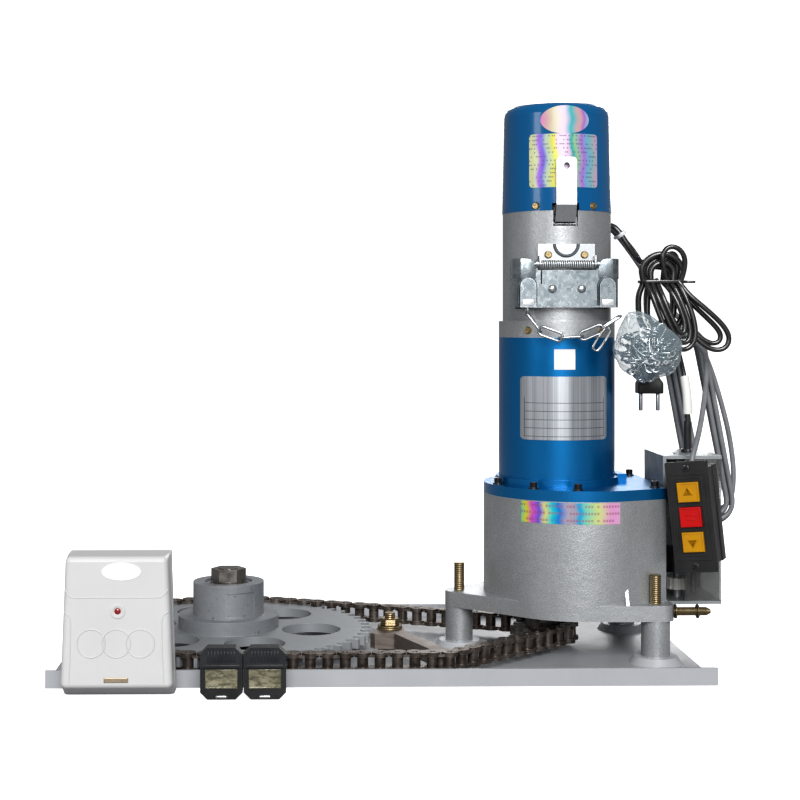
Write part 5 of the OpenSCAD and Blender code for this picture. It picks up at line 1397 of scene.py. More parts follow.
@dataclass
class Cords:
    """The power cord with its hank and loose loops, the limit cable and the control cord with its hank."""

    power_r: float = 3.0
    limit_r: float = 2.5
    control_r: float = 2.6
    loop_r: float = 2.6
    spacing: float = 2.5
    sleeve_top: float = 232
    sleeve_r: float = 3.9
    joint_low: float = 229
    joint_top: float = 273
    joint_r: float = 4.6
    power_in: tuple[Point, ...] = (
        (235.3, 13.4, 422), (237.6, 14.24, 422), (241, 15.5, 422), (248, 13, 413), (258, 12, 397),
        (266, 14.5, 387), (273, 15.5, 383), (281, 12.5, 380.5), (286.3, 9.08, 380.1))
    power_out: tuple[Point, ...] = (
        (286.6, 0.28, 323.9), (281, -3.4, 323.5), (274.5, -7, 319.5), (272, -7.5, 313), (272, -7.5, 306.2))
    limit_run: tuple[Point, ...] = (
        (233.3, 19.1, 422), (235.6, 19.9, 422), (239.4, 21.2, 422), (249, 21.5, 413), (268, 24, 390),
        (290, 27, 350), (307, 22, 300), (312, 3, 255), (312, 0, 215), (312, 0, 203), (312, 0, 195.2))
    control_in: tuple[Point, ...] = (
        (231.3, 24.8, 422), (233.6, 25.6, 422), (236.8, 26.7, 422), (248, 30, 413), (268, 46, 392),
        (292, 60, 362), (312, 66, 338), (330, 68, 318), (350, 66, 285), (368, 64, 225), (376, 64, 180),
        (376, 64, 150), (372, 64.5, 138), (366, 63, 132), (360.5, 60.2, 130.2), (356.8, 57.45, 129.8))
    control_out: tuple[Point, ...] = (
        (322.9, 48.4, 306.4), (324.5, 46.8, 306.2), (330, 42.5, 304.5), (336, 36, 298), (337, 24, 287),
        (331, 2, 262), (318, -30, 230), (306, -55, 207), (299.6, -62.9, 193.6), (299.96, -63.07, 189.9),
        (300.24, -63.21, 186.9))
    loose_loops: tuple[tuple[Point, ...], ...] = (
        ((302, -2, 366), (312, -6, 352), (328, -8, 338), (345, -8, 322), (352, -8, 309), (348, -8, 299),
         (336, -8, 297), (322, -7, 306), (311, -5, 322), (303, -2, 342)),
        ((303, 4, 364), (314, 0, 346), (329, -1, 331), (342, -1, 318), (346, -1, 309), (341, -1, 303),
         (331, -1, 305), (320, 0, 314), (311, 2, 328), (304, 3, 344)),
        ((292, 0, 362), (287, -4, 380), (286, -5, 393), (292, -5, 400), (301, -5, 399), (308, -5, 390),
         (308, -3, 376), (304, 0, 362)),
        ((289, 8, 364), (290, 5, 381), (291, 3, 391), (297, 3, 395), (302, 3, 391), (303, 4, 378),
         (300, 6, 364)),
        ((298, 2, 318), (288, -8, 306), (272, -22, 296), (254, -24, 292), (238, -20, 294), (226, -16, 303),
         (221, -10, 318)),
        ((270, 2, 368), (274, -10, 352), (280.5, -13, 333), (287.5, -14, 316), (295, -14, 302),
         (303, -13, 297), (311, -12, 299), (317, -12, 309), (315.5, -11, 327), (309.5, -9, 346),
         (303, -4, 362), (299, 6, 369)),
        ((275, 2, 368), (279, -10, 352), (286, -13, 334), (293, -14, 318), (300, -14, 306), (307, -13, 303),
         (312, -12, 311), (310, -11, 327), (304, -9, 344), (297.5, -5, 360), (293, 5, 367)),
        ((281, 2, 367), (285, -10, 350), (291, -13, 334), (297, -14, 321), (302, -14, 312), (306, -13, 314),
         (306, -12, 325), (300, -10, 343), (293, -5, 357), (288, 5, 365)))
    power_hank: Hank = Hank((288, 8, 352), 0, 9, 28, 8.8, -7, 0.5, 4, 0.22, 13, 14)
    control_hank: Hank = Hank((338, 56, 218), 10.9, 9, 90, 5.9, -5.7, 0, 4.5)
    white_tie: Band = Band("tie_band", (0.2486, 0.0215, 0.413), 141, (0.0084, 0.025), 0.0012, 0.0036)
    black_twist: Band = Band("twist_band", (0.288, 0.0045, 0.365), 0, (0.0464, 0.0164), 0.0014, 0.0028)
    twist_tail: Point = (0.3165, 0.0045, 0.365)

    def build(self) -> None:
        """Makes every cord and what is on it."""
        plug = Plug().build()
        ties = self.ties()
        line = [*curve_through(self.power_in, 4), *self.power_hank.points(),
                *curve_through(self.power_out, 4)]
        power = self.cord("power_lead", line, self.power_r, "black", ("power_cord", "power_hank"))
        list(self.loops())
        line = curve_through(self.limit_run, 6)
        limit = self.cord("limit_lead", line, self.limit_r, "black", ("limit_cable",))
        self.sleeve(line)
        line = [*curve_through(self.control_in, 4), *self.control_hank.points(),
                *curve_through(self.control_out, 4)]
        control = self.cord("control_lead", line, self.control_r, "grey", ("control_cord", "control_hank"))

    def cord(self, name: str, route: Sequence[Vector], radius: float, colour: str,
             nodes: Sequence[str]) -> Piece:
        """Makes one cord that stands for its CAD solids, and keeps its line and length.

        Args:
            name: The cord's name.
            route: Its route in millimetres.
            radius: Its radius in millimetres.
            colour: The colour of its sheath.
            nodes: The CAD nodes that it stands for.

        Returns:
            The cord.
        """
        self.line = eased(route, self.spacing)
        self.length = sum((b - a).length for a, b in zip(self.line, self.line[1:])) * MM
        made = tube(name, self.line, radius)
        return hand_over(made, "operator", f"{colour}_sheath", nodes)

    def loops(self) -> list[Piece]:
        """Makes the power cord's loose loops that stand out of its hank.

        Returns:
            The loops.
        """
        made = []
        for k, run in enumerate(self.loose_loops):
            loop = tube(f"power_loop_{k}", eased(curve_through(run, 6), self.spacing), self.loop_r)
            made.append(hand_over(loop, "operator", "black_sheath"))
        return made

    def ties(self) -> list[Piece]:
        """Makes the white band round the cords below the gland and the black twist round the hank.

        Returns:
            The two bands.
        """
        white = self.white_tie.make()
        hand_over(white, "operator", "tie_nylon", ("cable_ties",))
        black = self.black_twist.make()
        tail = turned("twist_tail", self.twist_tail, 0.0013, 0.009, Axis.X, 12, 0.0004)
        black = joined(self.black_twist.name, [black, tail])
        return [white, hand_over(black, "operator", "black_sheath", ("cable_ties",))]

    def sleeve(self, line: Sequence[Vector]) -> list[Piece]:
        """Makes the black sleeve on the limit cable and the pale joint above it.

        Args:
            line: The cable's route in millimetres.

        Returns:
            The pieces on the cable.
        """
        under = [point for point in line if point.z < self.sleeve_top]
        middle = [point for point in line if self.joint_low <= point.z <= self.joint_top]
        sleeve = tube("limit_sleeve", eased(under, 3), self.sleeve_r)
        joint = tube("limit_joint", eased(middle, 3), self.joint_r, 3)
        return [hand_over(sleeve, "operator", "black_sheath"),
                hand_over(joint, "operator", "pale_plastic")]


@dataclass
class Plug:
    """The mains plug: a ribbed relief, a grip that narrows above its shoulders, and two round pins."""

    x: float = 0.272
    y: float = -0.0075
    top: float = 0.286
    half_w: float = 0.0125
    half_d: float = 0.0085
    height: float = 0.032
    shoulder: float = 0.62
    neck: float = 0.5
    neck_grows: float = 0.22
    neck_reach: float = 0.35
    neck_depth: float = 0.72
    pin_out: float = 0.0085
    pin_r: float = 0.002
    pin_length: float = 0.017
    rings: int = 5
    ring_r: float = 0.0056
    ring_taper: float = 0.00035
    ring_wide: float = 0.0031
    ring_low: float = 0.002
    ring_step: float = 0.004
    core_r: float = 0.0038
    core_length: float = 0.0196

    def build(self) -> Piece:
        """Makes the plug and its pins.

        Returns:
            The plug's grip with its relief.
        """
        parts = [self.grip()]
        for k in range(self.rings):
            at = (self.x, self.y, self.top + self.ring_low + k * self.ring_step)
            parts.append(turned(f"relief_{k}", at, self.ring_r - k * self.ring_taper, self.ring_wide,
                                bevel=0.0006, sides=24))
        core = turned("relief_core", (self.x, self.y, self.top + self.core_length / 2), self.core_r,
                      self.core_length, sides=24)
        with editing(core, lambda at, way: at.z > self.top + self.core_length - 0.0006):
            bpy.ops.mesh.inset(thickness=0.0006)
        pins = []
        for side in Side:
            at = (self.x + side.value * self.pin_out, self.y, self.top - self.height - self.pin_length / 2)
            pins.append(turned(f"plug_pin_{side.word}", at, self.pin_r, self.pin_length, bevel=0.0007,
                               sides=20))
        hand_over(joined("plug_pins", pins), "operator", "bright_zinc")
        whole = joined("plug_grip", [*parts, core])
        return hand_over(whole, "operator", "black_plastic", ("mains_plug",))

    def grip(self) -> Piece:
        """Makes the grip: narrow above, full below its shoulders.

        Returns:
            The grip.
        """
        low = (self.x - self.half_w, self.y - self.half_d, self.top - self.height)
        body = block("plug_body", low, (self.x + self.half_w, self.y + self.half_d, self.top))
        with editing(body):
            bpy.ops.mesh.subdivide(number_cuts=5)
        for vert in body.data.vertices:
            down = (self.top - vert.co.z) / self.height
            if down < self.shoulder:
                wide = self.neck + self.neck_grows * math.sin(min(1.0, down / self.neck_reach) * QUARTER)
                vert.co.x = self.x + (vert.co.x - self.x) * wide
                vert.co.y = self.y + (vert.co.y - self.y) * self.neck_depth
        return softened(body, 0.0012, 3, 28)


@dataclass
class MotorTrim:
    """Labels, guard details, notch, loose link and spring of the upright motor."""

    tube_r: float = 0.057
    cap_low: float = 0.4322
    cap_r: float = 0.0537
    cap_top_r: float = 0.0516
    cap_h: float = 0.1052
    glue: float = 0.0001
    oval_half_w: float = 0.0242
    oval_half_h: float = 0.0137
    oval_z: float = 0.5195
    notch_z: float = 0.3996
    notch_y: float = -0.0564
    notch_r: float = 0.0114
    notch_wire: float = 0.0016
    notch_plate: float = 0.0004
    notch_sunk: float = 0.0013
    link_at: Point = (0.2115, -0.0735, 0.3085)
    link_turn: float = 33
    link_r: float = 0.0036
    link_wire: float = 0.0011
    link_reach: float = 0.0085
    spring_y: float = -61.2
    spring_z: float = 380.2
    spring_r: float = 3.5
    spring_wire: float = 0.6
    spring_length: float = 49.6
    spring_curls: int = 24
    spring_steps: int = 24
    core_r: float = 0.0024
    core_length: float = 0.0482

    def cap_radius(self, z: float) -> float:
        """Gives the cap's radius at a height."""
        return self.cap_r + (self.cap_top_r - self.cap_r) * (z - self.cap_low) / self.cap_h

    def build(self) -> None:
        """Makes every detail."""
        foil = self.label("cap_label", (-0.0361, 0.4545), (0.0347, 0.506), 0.0035, self.cap_radius)
        hand_over(foil, "operator", "cap_foil")
        paper = self.label("tube_paper", (-0.0117, 0.2792), (0.0086, 0.2987), 0.0004, lambda z: self.tube_r)
        hand_over(paper, "operator", "white_paper")
        self.oval()
        Guard().build()
        self.notch()
        self.loose_link()
        self.spring()

    def label(self, name: str, low: tuple[float, float], high: tuple[float, float], corner: float,
              radius_at: Callable[[float], float]) -> Piece:
        """Makes a thin label with round corners, laid on the motor's skin.

        Args:
            name: The label's name.
            low: Its lower left corner, measured round the skin from the front.
            high: Its upper right corner.
            corner: The corners' radius.
            radius_at: The skin's radius at a height.

        Returns:
            The label.
        """
        (left, bottom), (right, top) = low, high
        middle = ((left + right) / 2, self.glue, (bottom + top) / 2)
        piece = sheet(name, middle, right - left, top - bottom)
        with editing(piece, kind=Pick.VERT):
            bpy.ops.mesh.bevel(offset=corner, segments=5, affect="VERTICES")
        return foiled(sliced(piece, left, right, 16), radius_at)

    def oval(self) -> None:
        """Makes the oval foil above the cap's label."""
        let_go()
        bpy.ops.mesh.primitive_circle_add(vertices=64, radius=1, fill_type="NGON",
                                          location=(0, self.glue, self.oval_z), rotation=Axis.Y.value)
        piece = named("cap_oval", (self.oval_half_w, self.oval_half_h, 1))
        foiled(sliced(piece, -self.oval_half_w, self.oval_half_w, 12), self.cap_radius)
        hand_over(piece, "operator", "oval_foil")

    def notch(self) -> None:
        """Makes the bracket's half round notch: its pressed rim, dark as painted shade in the recess, and the
        bright plate behind it.
        """
        rim = torus("notch_shade_rim", (0, 0, 0), self.notch_r, self.notch_wire, Axis.Y, 64)
        inner = self.notch_r - self.notch_wire / 2
        back = turned("notch_back", (0, self.notch_sunk, 0), inner, self.notch_plate, Axis.Y, 64)
        # The rim is dark as painted shade in the notch.
        for piece, finish in ((rim, "painted_shade_zinc"), (back, "polished_zinc")):
            with editing(piece):
                bpy.ops.mesh.bisect(plane_co=(0, 0, 0), plane_no=(0, 0, 1), clear_outer=True, use_fill=True)
            hand_over(shifted(piece, (MOTOR_X, self.notch_y, self.notch_z)), "operator", finish)

    def loose_link(self) -> None:
        """Makes the chain's link that hangs beside the bag."""
        link = torus("loose_link", (0, 0, 0), self.link_r, self.link_wire, Axis.Y, 32)
        drawn_out(link, 2, self.link_reach)
        moved(link, Matrix.Translation(self.link_at) @ turn_about("Y", self.link_turn))
        hand_over(link, "operator", "chain_zinc")

    def spring(self) -> None:
        """Makes the guard's torsion spring along the same line as its CAD solid, and its core, dark as
        painted shade inside the coil.
        """
        line = []
        for k in range(self.spring_curls * self.spring_steps + 1):
            curl = k / self.spring_steps
            angle = 2 * math.pi * curl
            line.append(Vector((MOTOR_X / MM + self.spring_length * (curl / self.spring_curls - 0.5),
                                self.spring_y + self.spring_r * math.cos(angle),
                                self.spring_z + self.spring_r * math.sin(angle))))
        spring = tube("torsion_spring", line, self.spring_wire, 2)
        hand_over(spring, "operator", "polished_zinc", ("guard_spring",))
        at = (MOTOR_X, self.spring_y * MM, self.spring_z * MM)
        # The core is dark as painted shade inside the coil.
        core = turned("spring_core", at, self.core_r, self.core_length, Axis.X, 24, 0.0004)
        hand_over(core, "operator", "painted_shade_zinc")


@dataclass
class Guard:
    """The guard flap's shoulders, the dark rims round its tongues that stand for their painted shadows, the
    tongues' tips, and its domed dimples.
    """

    low: float = 0.366
    high: float = 0.3856
    face: float = -0.0604
    back: float = -0.034
    edge: float = 0.044
    fold_r: float = 0.006
    shoulder_x: float = 0.0368
    shoulder_w: float = 0.0144
    shoulder_corner: float = 0.0085
    plate: float = 0.002
    tongue_x: float = 0.038
    tongue_r: float = 8.3
    tongue_top: float = 359.3
    tongue_y: float = -0.0662
    arch_y: float = -60.8
    arch_bend: tuple[float, float] = (-60.6, 350)
    arch_foot: tuple[float, float] = (-60.4, 341)
    tip_half_w: float = 0.0055
    tip_low: float = 0.3404
    tip_high: float = 0.3462
    dimple_x: float = 0.014
    dimple_z: float = 0.3565
    dimple_r: float = 0.0041

    def build(self) -> None:
        """Makes both sides."""
        for side in Side:
            self.shoulder(side)
            self.tongue(side)
            at = (MOTOR_X + side.value * self.dimple_x, self.face + 0.0002, self.dimple_z)
            dimple = dome(f"guard_dimple_{side.word}", at, self.dimple_r, 0.62, self.face + 0.0003)
            hand_over(dimple, "guard", "bright_zinc")

    def shoulder(self, side: Side) -> None:
        """Makes one shoulder: a sheet that is folded back round its outer edge.

        Args:
            side: The side that it is on.
        """
        out = side.value * self.fold_r
        height = self.high - self.low
        piece = sheet(f"guard_shoulder_{side.word}", (side.value * self.shoulder_x, self.face,
                                                      (self.low + self.high) / 2), self.shoulder_w, height)
        with editing(piece, lambda at, way: abs(at.x) > self.edge - 0.001 and abs(way.z) > 0.5, Pick.EDGE):
            bpy.ops.mesh.extrude_edges_move(TRANSFORM_OT_translate={"value": (out, self.fold_r, 0)})
            deep = self.back - self.face - self.fold_r
            bpy.ops.mesh.extrude_edges_move(TRANSFORM_OT_translate={"value": (0, deep, 0)})
        inner = self.shoulder_x - self.shoulder_w / 2 + 0.0001
        with editing(piece, lambda at, way: at.z > self.high - 0.0001 and (
                abs(at.x) < inner or at.y > self.back - 0.0001), Pick.VERT):
            bpy.ops.mesh.bevel(offset=self.shoulder_corner, segments=6, affect="VERTICES")
        with editing(piece):
            bpy.ops.mesh.normals_make_consistent(inside=False)
        softened(change(piece, "SOLIDIFY", thickness=self.plate, offset=0), 0.0007, 3)
        hand_over(shifted(piece, (MOTOR_X, 0.001, 0)), "guard", "zinc_spangle")

    def tongue(self, side: Side) -> None:
        """Makes the dark rim round one tongue, painted as the tongue's shadow, and the bright tip at its
        foot.

        Args:
            side: The side that it is on.
        """
        x = MOTOR_X + side.value * self.tongue_x
        middle = x / MM
        left, right = middle - self.tongue_r, middle + self.tongue_r
        arch = [Vector((left, *self.arch_foot)), Vector((left, *self.arch_bend))]
        for degrees in range(0, 181, 15):
            angle = math.radians(degrees)
            arch.append(Vector((middle - self.tongue_r * math.cos(angle), self.arch_y,
                                self.tongue_top + self.tongue_r * math.sin(angle))))
        arch += [Vector((right, *self.arch_bend)), Vector((right, *self.arch_foot))]
        # Painted shadow: a dark rim round the tongue stands for the shadow around it.
        rim = tube(f"tongue_shadow_rim_{side.word}", eased(arch, 1.2, 2), 1.1, 3)
        hand_over(rim, "guard", "painted_shade_zinc")
        tip = block(f"tongue_tip_{side.word}", (x - self.tip_half_w, self.tongue_y - 0.0006, self.tip_low),
                    (x + self.tip_half_w, self.tongue_y + 0.0003, self.tip_high), 0.0003, 2)
        hand_over(tip, "guard", "polished_zinc")


@dataclass
class Bag:
    """The clear bag with the rest of the hand chain."""

    links: int = 96
    draw: float = 0.016
    film_share: float = 0.94
    folds: int = 9
    fullness: float = 0.84
    crumple: float = 0.24
    neck_starts: float = 0.1
    neck: float = 0.45
    heap_shares: Point = (0.34, 0.3, 0.33)
    heap_drop: float = 0.07
    link_r: float = 0.0042
    link_wire: float = 0.00115
    link_reach: float = 0.0052

    def build(self) -> None:
        """Makes the crumpled film and the chain that shows through it."""
        low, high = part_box("chain_bag")
        middle, size = (low + high) / 2, high - low
        rng = random.Random(7)
        self.film(middle, size, rng)
        self.heap(middle, size, rng)

    def film(self, middle: Vector, size: Vector, rng: random.Random) -> None:
        """Makes the film: a ball with sharp folds, drawn in to a neck above.

        Args:
            middle: The bag's middle.
            size: The bag's size.
            rng: The source of the folds, with its seed set.
        """
        let_go()
        bpy.ops.mesh.primitive_ico_sphere_add(subdivisions=6, radius=0.5, location=middle)
        film = named("bag_film", size * self.film_share)
        folds = []
        for _ in range(self.folds):
            way = Vector((rng.uniform(-1, 1), rng.uniform(-1, 1), rng.uniform(-1, 1))).normalized()
            folds.append((way, rng.uniform(18, 60), rng.uniform(0, 6)))
        for vert in film.data.vertices:
            off = vert.co - middle
            waves = [abs(math.sin(off.dot(way) * rate * 4 + phase)) for way, rate, phase in folds]
            ripple = sum(waves) / len(waves) - 0.25 * min(waves[:4])
            reach = max(0.0, off.z / size.z - self.neck_starts) / (0.5 - self.neck_starts)
            scale = self.fullness + self.crumple * ripple
            pinch = scale * (1 - self.neck * reach ** 1.4)
            vert.co = middle + Vector((off.x * pinch - self.draw * reach ** 1.6, off.y * pinch,
                                       off.z * scale + self.draw * 0.35 * reach))
        film.data.update()
        hand_over(film, "operator", "bag_film", ("chain_bag",), 40)

    def heap(self, middle: Vector, size: Vector, rng: random.Random) -> None:
        """Heaps wire links in the bag.

        Args:
            middle: The bag's middle.
            size: The bag's size.
            rng: The source of the heap's turns, with its seed set.
        """
        model = drawn_out(torus("heap_link", (0, 0, 0), self.link_r, self.link_wire, sides=16), 0,
                          self.link_reach)
        copies = []
        for _ in range(self.links):
            let_go()
            copy = model.copy()
            copy.data = model.data.copy()
            bpy.context.scene.collection.objects.link(copy)
            off = Vector((rng.gauss(0, 1), rng.gauss(0, 1), rng.gauss(0, 1))).normalized()
            off *= rng.uniform(0.1, 1) ** 0.5
            at = middle + Vector([a * b * share for a, b, share in zip(off, size, self.heap_shares)])
            at.z -= size.z * self.heap_drop
            turn = Matrix.Rotation(rng.uniform(0, 6.3), 4, "X") @ Matrix.Rotation(rng.uniform(0, 6.3), 4, "Z")
            copies.append(moved(copy, Matrix.Translation(at) @ turn))
        bpy.data.objects.remove(model)
        hand_over(joined("bag_links", copies), "operator", "bag_zinc", (), 60)


@dataclass
class Station:
    """The push button station's small parts: frame, screw heads, marks on the keys and the case's rims."""

    at: Point = (0.294, -0.08585, 0.142)
    turn: float = -27
    lean: float = -6
    half_w: float = 0.018
    half_h: float = 0.045
    front: float = -0.003
    outer_frame: tuple[float, float] = (0.0352, 0.0815)
    inner_frame: tuple[float, float] = (0.0262, 0.0735)
    frame_corner: float = 0.0022
    frame_w: float = 0.0011
    frame_thick: float = 0.0006
    head_z: float = 0.046
    head_r: float = 0.0031
    head_h: float = 0.0009
    head_out: float = 0.0014
    key_front: float = -0.0055
    key_w: float = 0.0196
    key_h: float = 0.0181
    step: float = 0.0234
    arrow_r: float = 0.0056
    bar_half_w: float = 0.0042
    bar_z: float = 0.0021
    bar_half_h: float = 0.0008
    key_rim_w: float = 0.0013
    key_rim_thick: float = 0.0005
    front_rim: Point = (0.0002, 0.0085, 0.0009)
    back_rim: Point = (0.0275, 0.0432, 0.0007)

    def handed(self, piece: Piece, body: str, finish: str) -> None:
        """Brings a piece from the station's own place to where the station leans, and hands it over.

        Args:
            piece: The piece.
            body: The CAD body that it moves with.
            finish: Its finish.
        """
        turn = turn_about("Z", self.turn) @ turn_about("Y", self.lean)
        hand_over(moved(piece, Matrix.Translation(self.at) @ turn), body, finish)

    def build(self) -> None:
        """Makes every small part."""
        self.frame()
        self.heads()
        self.marks()
        self.key_rims()
        self.case_rims()

    def frame(self) -> None:
        """Makes the raised frame round the keys."""
        bars = []
        for size in (self.outer_frame, self.inner_frame):
            piece = sheet(f"frame_{len(bars)}", (0, self.front, 0), *size)
            with editing(piece, kind=Pick.VERT):
                bpy.ops.mesh.bevel(offset=self.frame_corner, segments=4, affect="VERTICES")
            bars.append(framed(piece, self.frame_w, self.frame_thick))
        self.handed(joined("station_frame", bars), "operator", "black_plastic")

    def heads(self) -> None:
        """Makes the two screw heads of the faceplate."""
        heads = []
        for side in Side:
            at = (0, self.front - self.head_out, side.value * self.head_z)
            head = turned(f"head_{side.word}", at, self.head_r, self.head_h, Axis.Y, 32)
            heads.append(softened(stepped(head, 0.0007, -0.0003), 0.00018))
        self.handed(joined("station_heads", heads), "operator", "black_oxide")

    def marks(self) -> None:
        """Makes the marks that stand on the three keys: two arrows and two bars."""
        y = self.key_front - 0.0001
        for word, z, turn in (("up", self.step, 0), ("down", -self.step, 180)):
            mark = turned(f"mark_{word}", (0, y, 0), self.arrow_r, 0.0006, Axis.Y, 3, 0.0002)
            stepped(mark, 0.0011, 0.0004, lambda at, way: in_front(at, way) and at.y < y)
            moved(mark, Matrix.Translation((0, 0, z)) @ turn_about("Y", turn))
            self.handed(mark, f"{word}_key", "button_yellow")
        bars = []
        for side in Side:
            z = side.value * self.bar_z
            bars.append(block(f"bar_{side.word}", (-self.bar_half_w, y - 0.0003, z - self.bar_half_h),
                              (self.bar_half_w, y + 0.0004, z + self.bar_half_h), 0.0003, 2))
        self.handed(joined("mark_stop", bars), "stop_key", "button_red")

    def key_rims(self) -> None:
        """Makes the raised rim round each key."""
        for word, z, finish in (("up", self.step, "button_yellow"), ("stop", 0, "button_red"),
                                ("down", -self.step, "button_yellow")):
            rim = sheet(f"rim_{word}", (0, self.key_front, z), self.key_w, self.key_h)
            self.handed(framed(rim, self.key_rim_w, self.key_rim_thick), f"{word}_key", finish)

    def case_rims(self) -> None:
        """Makes the stepped rims that run round the station's case."""
        for word, (low, high, out) in (("front", self.front_rim), ("back", self.back_rim)):
            through = word == "front"
            rim = block(f"case_rim_{word}", (-self.half_w - out, low, -self.half_h - out),
                        (self.half_w + out, high, self.half_h + out))
            opened(rim, lambda at, way: abs(way.y) > 0.9 and (through or at.y < high - 0.001))
            softened(change(rim, "SOLIDIFY", thickness=0.0008, offset=-1), 0.0004)
            self.handed(rim, "operator", "black_plastic")


@dataclass
class Receiver:
    """What is set in the receiver's lid: lamp, rings, oval, seams and small plate."""

    x: float = -0.2317
    face: float = -0.196
    lamp_x: float = -0.2305
    lamp_z: float = 0.0764
    lamp_r: float = 0.0064
    lens_r: float = 0.0029
    ring_xs: Point = (-0.2533, -0.2316, -0.2110)
    ring_z: float = 0.0486
    ring_r: float = 0.0121
    ring_wire: float = 0.00055
    oval_at: tuple[float, float] = (-0.2274, 0.1105)
    oval_half_w: float = 0.0168
    oval_half_h: float = 0.0077
    plate_low: tuple[float, float] = (-0.2425, 0.0148)
    plate_high: tuple[float, float] = (-0.2215, 0.0192)
    lid_seam: tuple[Point, ...] = ((44.2, 1.2, 95), (42.5, 0.1, 91.5), (39.5, 0, 89), (35, 0, 88), (0, 0, 88))
    side_seam: tuple[Point, ...] = (
        (44.6, 0.6, 76), (42.2, 0, 74.5), (40, 0, 71), (39.2, 0, 66), (39.6, 0, 40), (40.4, 0, 21),
        (40.8, 0, 15))

    def build(self) -> None:
        """Makes every detail."""
        self.lamp()
        hoops = [torus(f"hoop_{k}", (x, self.face, self.ring_z), self.ring_r, self.ring_wire, Axis.Y, 64)
                 for k, x in enumerate(self.ring_xs)]
        hand_over(joined("case_rings", hoops), "receiver", "case_plastic", (), 60)
        left = [(-x, y, z) for x, y, z in self.lid_seam]
        self.seam("lid_seam", [*left, *self.lid_seam[-2::-1]])
        for side in Side:
            self.seam(f"side_seam_{side.word}", [(side.value * x, y, z) for x, y, z in self.side_seam])
        self.plates()

    def lamp(self) -> None:
        """Makes the lamp's ring and its red lens."""
        at = (self.lamp_x, self.face, self.lamp_z)
        ring = shifted(turned("lamp_ring", at, self.lamp_r, 0.001, Axis.Y, 48), (0, -0.0003, 0))
        softened(stepped(ring, 0.0026, 0.0005), 0.0003, 3)
        hand_over(ring, "receiver", "case_plastic")
        lens = dome("lamp_lens", at, self.lens_r, 0.55, self.face + 0.0003)
        hand_over(lens, "receiver", "red_lamp")

    def seam(self, name: str, places: Sequence[Point]) -> None:
        """Makes one seam as a fine raised line.

        Args:
            name: The seam's name.
            places: Its points in millimetres, from the middle of the receiver's face.
        """
        points = [(self.x / MM + x, self.face / MM + y, z) for x, y, z in places]
        line = eased(curve_through(points, 6), 1.5, 3)
        hand_over(tube(name, line, 0.45, 2), "receiver", "case_plastic")

    def plates(self) -> None:
        """Makes the blank white oval and the small brass coloured plate."""
        oval = turned("blank_oval", (0, 0, 0), 1, 0.0007, Axis.Y, 64)
        moved(oval, Matrix.Diagonal((self.oval_half_w, 1, self.oval_half_h, 1)))
        stepped(oval, 0.0006, 0.0002)
        x, z = self.oval_at
        hand_over(shifted(oval, (x, self.face - 0.0001, z)), "receiver", "white_paper")
        (left, bottom), (right, top) = self.plate_low, self.plate_high
        plate = block("small_plate", (left, self.face - 0.0004, bottom), (right, self.face + 0.0003, top),
                      0.0002, 2)
        hand_over(stepped(plate, 0.0007, 0.00015), "receiver", "dull_brass")


@dataclass
class Remote:
    """One hand remote's window, ribs and key ring lug."""

    side: Side
    x: float
    cover_low: float = 0.0273
    face: float = -0.196
    window_half_w: float = 0.0138
    window_low: float = 0.0096
    window_depth: tuple[float, float] = (-0.0004, 0.0005)
    rib_depth: tuple[float, float] = (-0.0026, -0.0018)
    edge_depth: tuple[float, float] = (-0.0028, -0.0018)
    lug_depth: tuple[float, float] = (-0.0018, 0.0004)
    lug_height: tuple[float, float] = (0.0012, 0.0038)
    ribs: int = 9
    rib_step: float = 0.0028
    rib_half_w: float = 0.0008
    edge_half_w: float = 0.0162
    lug_half_w: float = 0.005

    def bar(self, name: str, x: float, half_w: float, depth: tuple[float, float], height: tuple[float, float],
            *bevel: float) -> Piece:
        """Makes a bar across the remote's face.

        Args:
            name: The bar's name.
            x: Its middle.
            half_w: Half its width.
            depth: Its front and back, measured from the face.
            height: Its lower and upper edge.
            bevel: The rounding's radius and steps.

        Returns:
            The bar.
        """
        return block(name, (x - half_w, self.face + depth[0], height[0]),
                     (x + half_w, self.face + depth[1], height[1]), *bevel)

    def build(self) -> None:
        """Makes the window in the case, the ribs on the slide and the lug."""
        word, low = self.side.word, self.cover_low
        window = self.bar(f"window_{word}", self.x, self.window_half_w, self.window_depth,
                          (self.window_low, low - 0.0015))
        softened(stepped(window, 0.0008, 0.0003), 0.0002)
        hand_over(window, f"remote_{word}", "olive_window")
        bars = []
        for k in range(self.ribs):
            x = self.x + (k - self.ribs // 2) * self.rib_step
            bars.append(self.bar(f"rib_{k}", x, self.rib_half_w, self.rib_depth,
                                 (low + 0.005, low + 0.0145), 0.0003, 2))
        bars.append(self.bar("slide_edge", self.x, self.edge_half_w, self.edge_depth,
                             (low + 0.0003, low + 0.0032), 0.0004, 3))
        hand_over(joined(f"ribs_{word}", bars), f"remote_{word}_slider", "ribbed_plastic")
        lug = self.bar(f"lug_{word}", self.x, self.lug_half_w, self.lug_depth, self.lug_height)
        hand_over(softened(lug, 0.001, 4), f"remote_{word}", "bright_zinc")


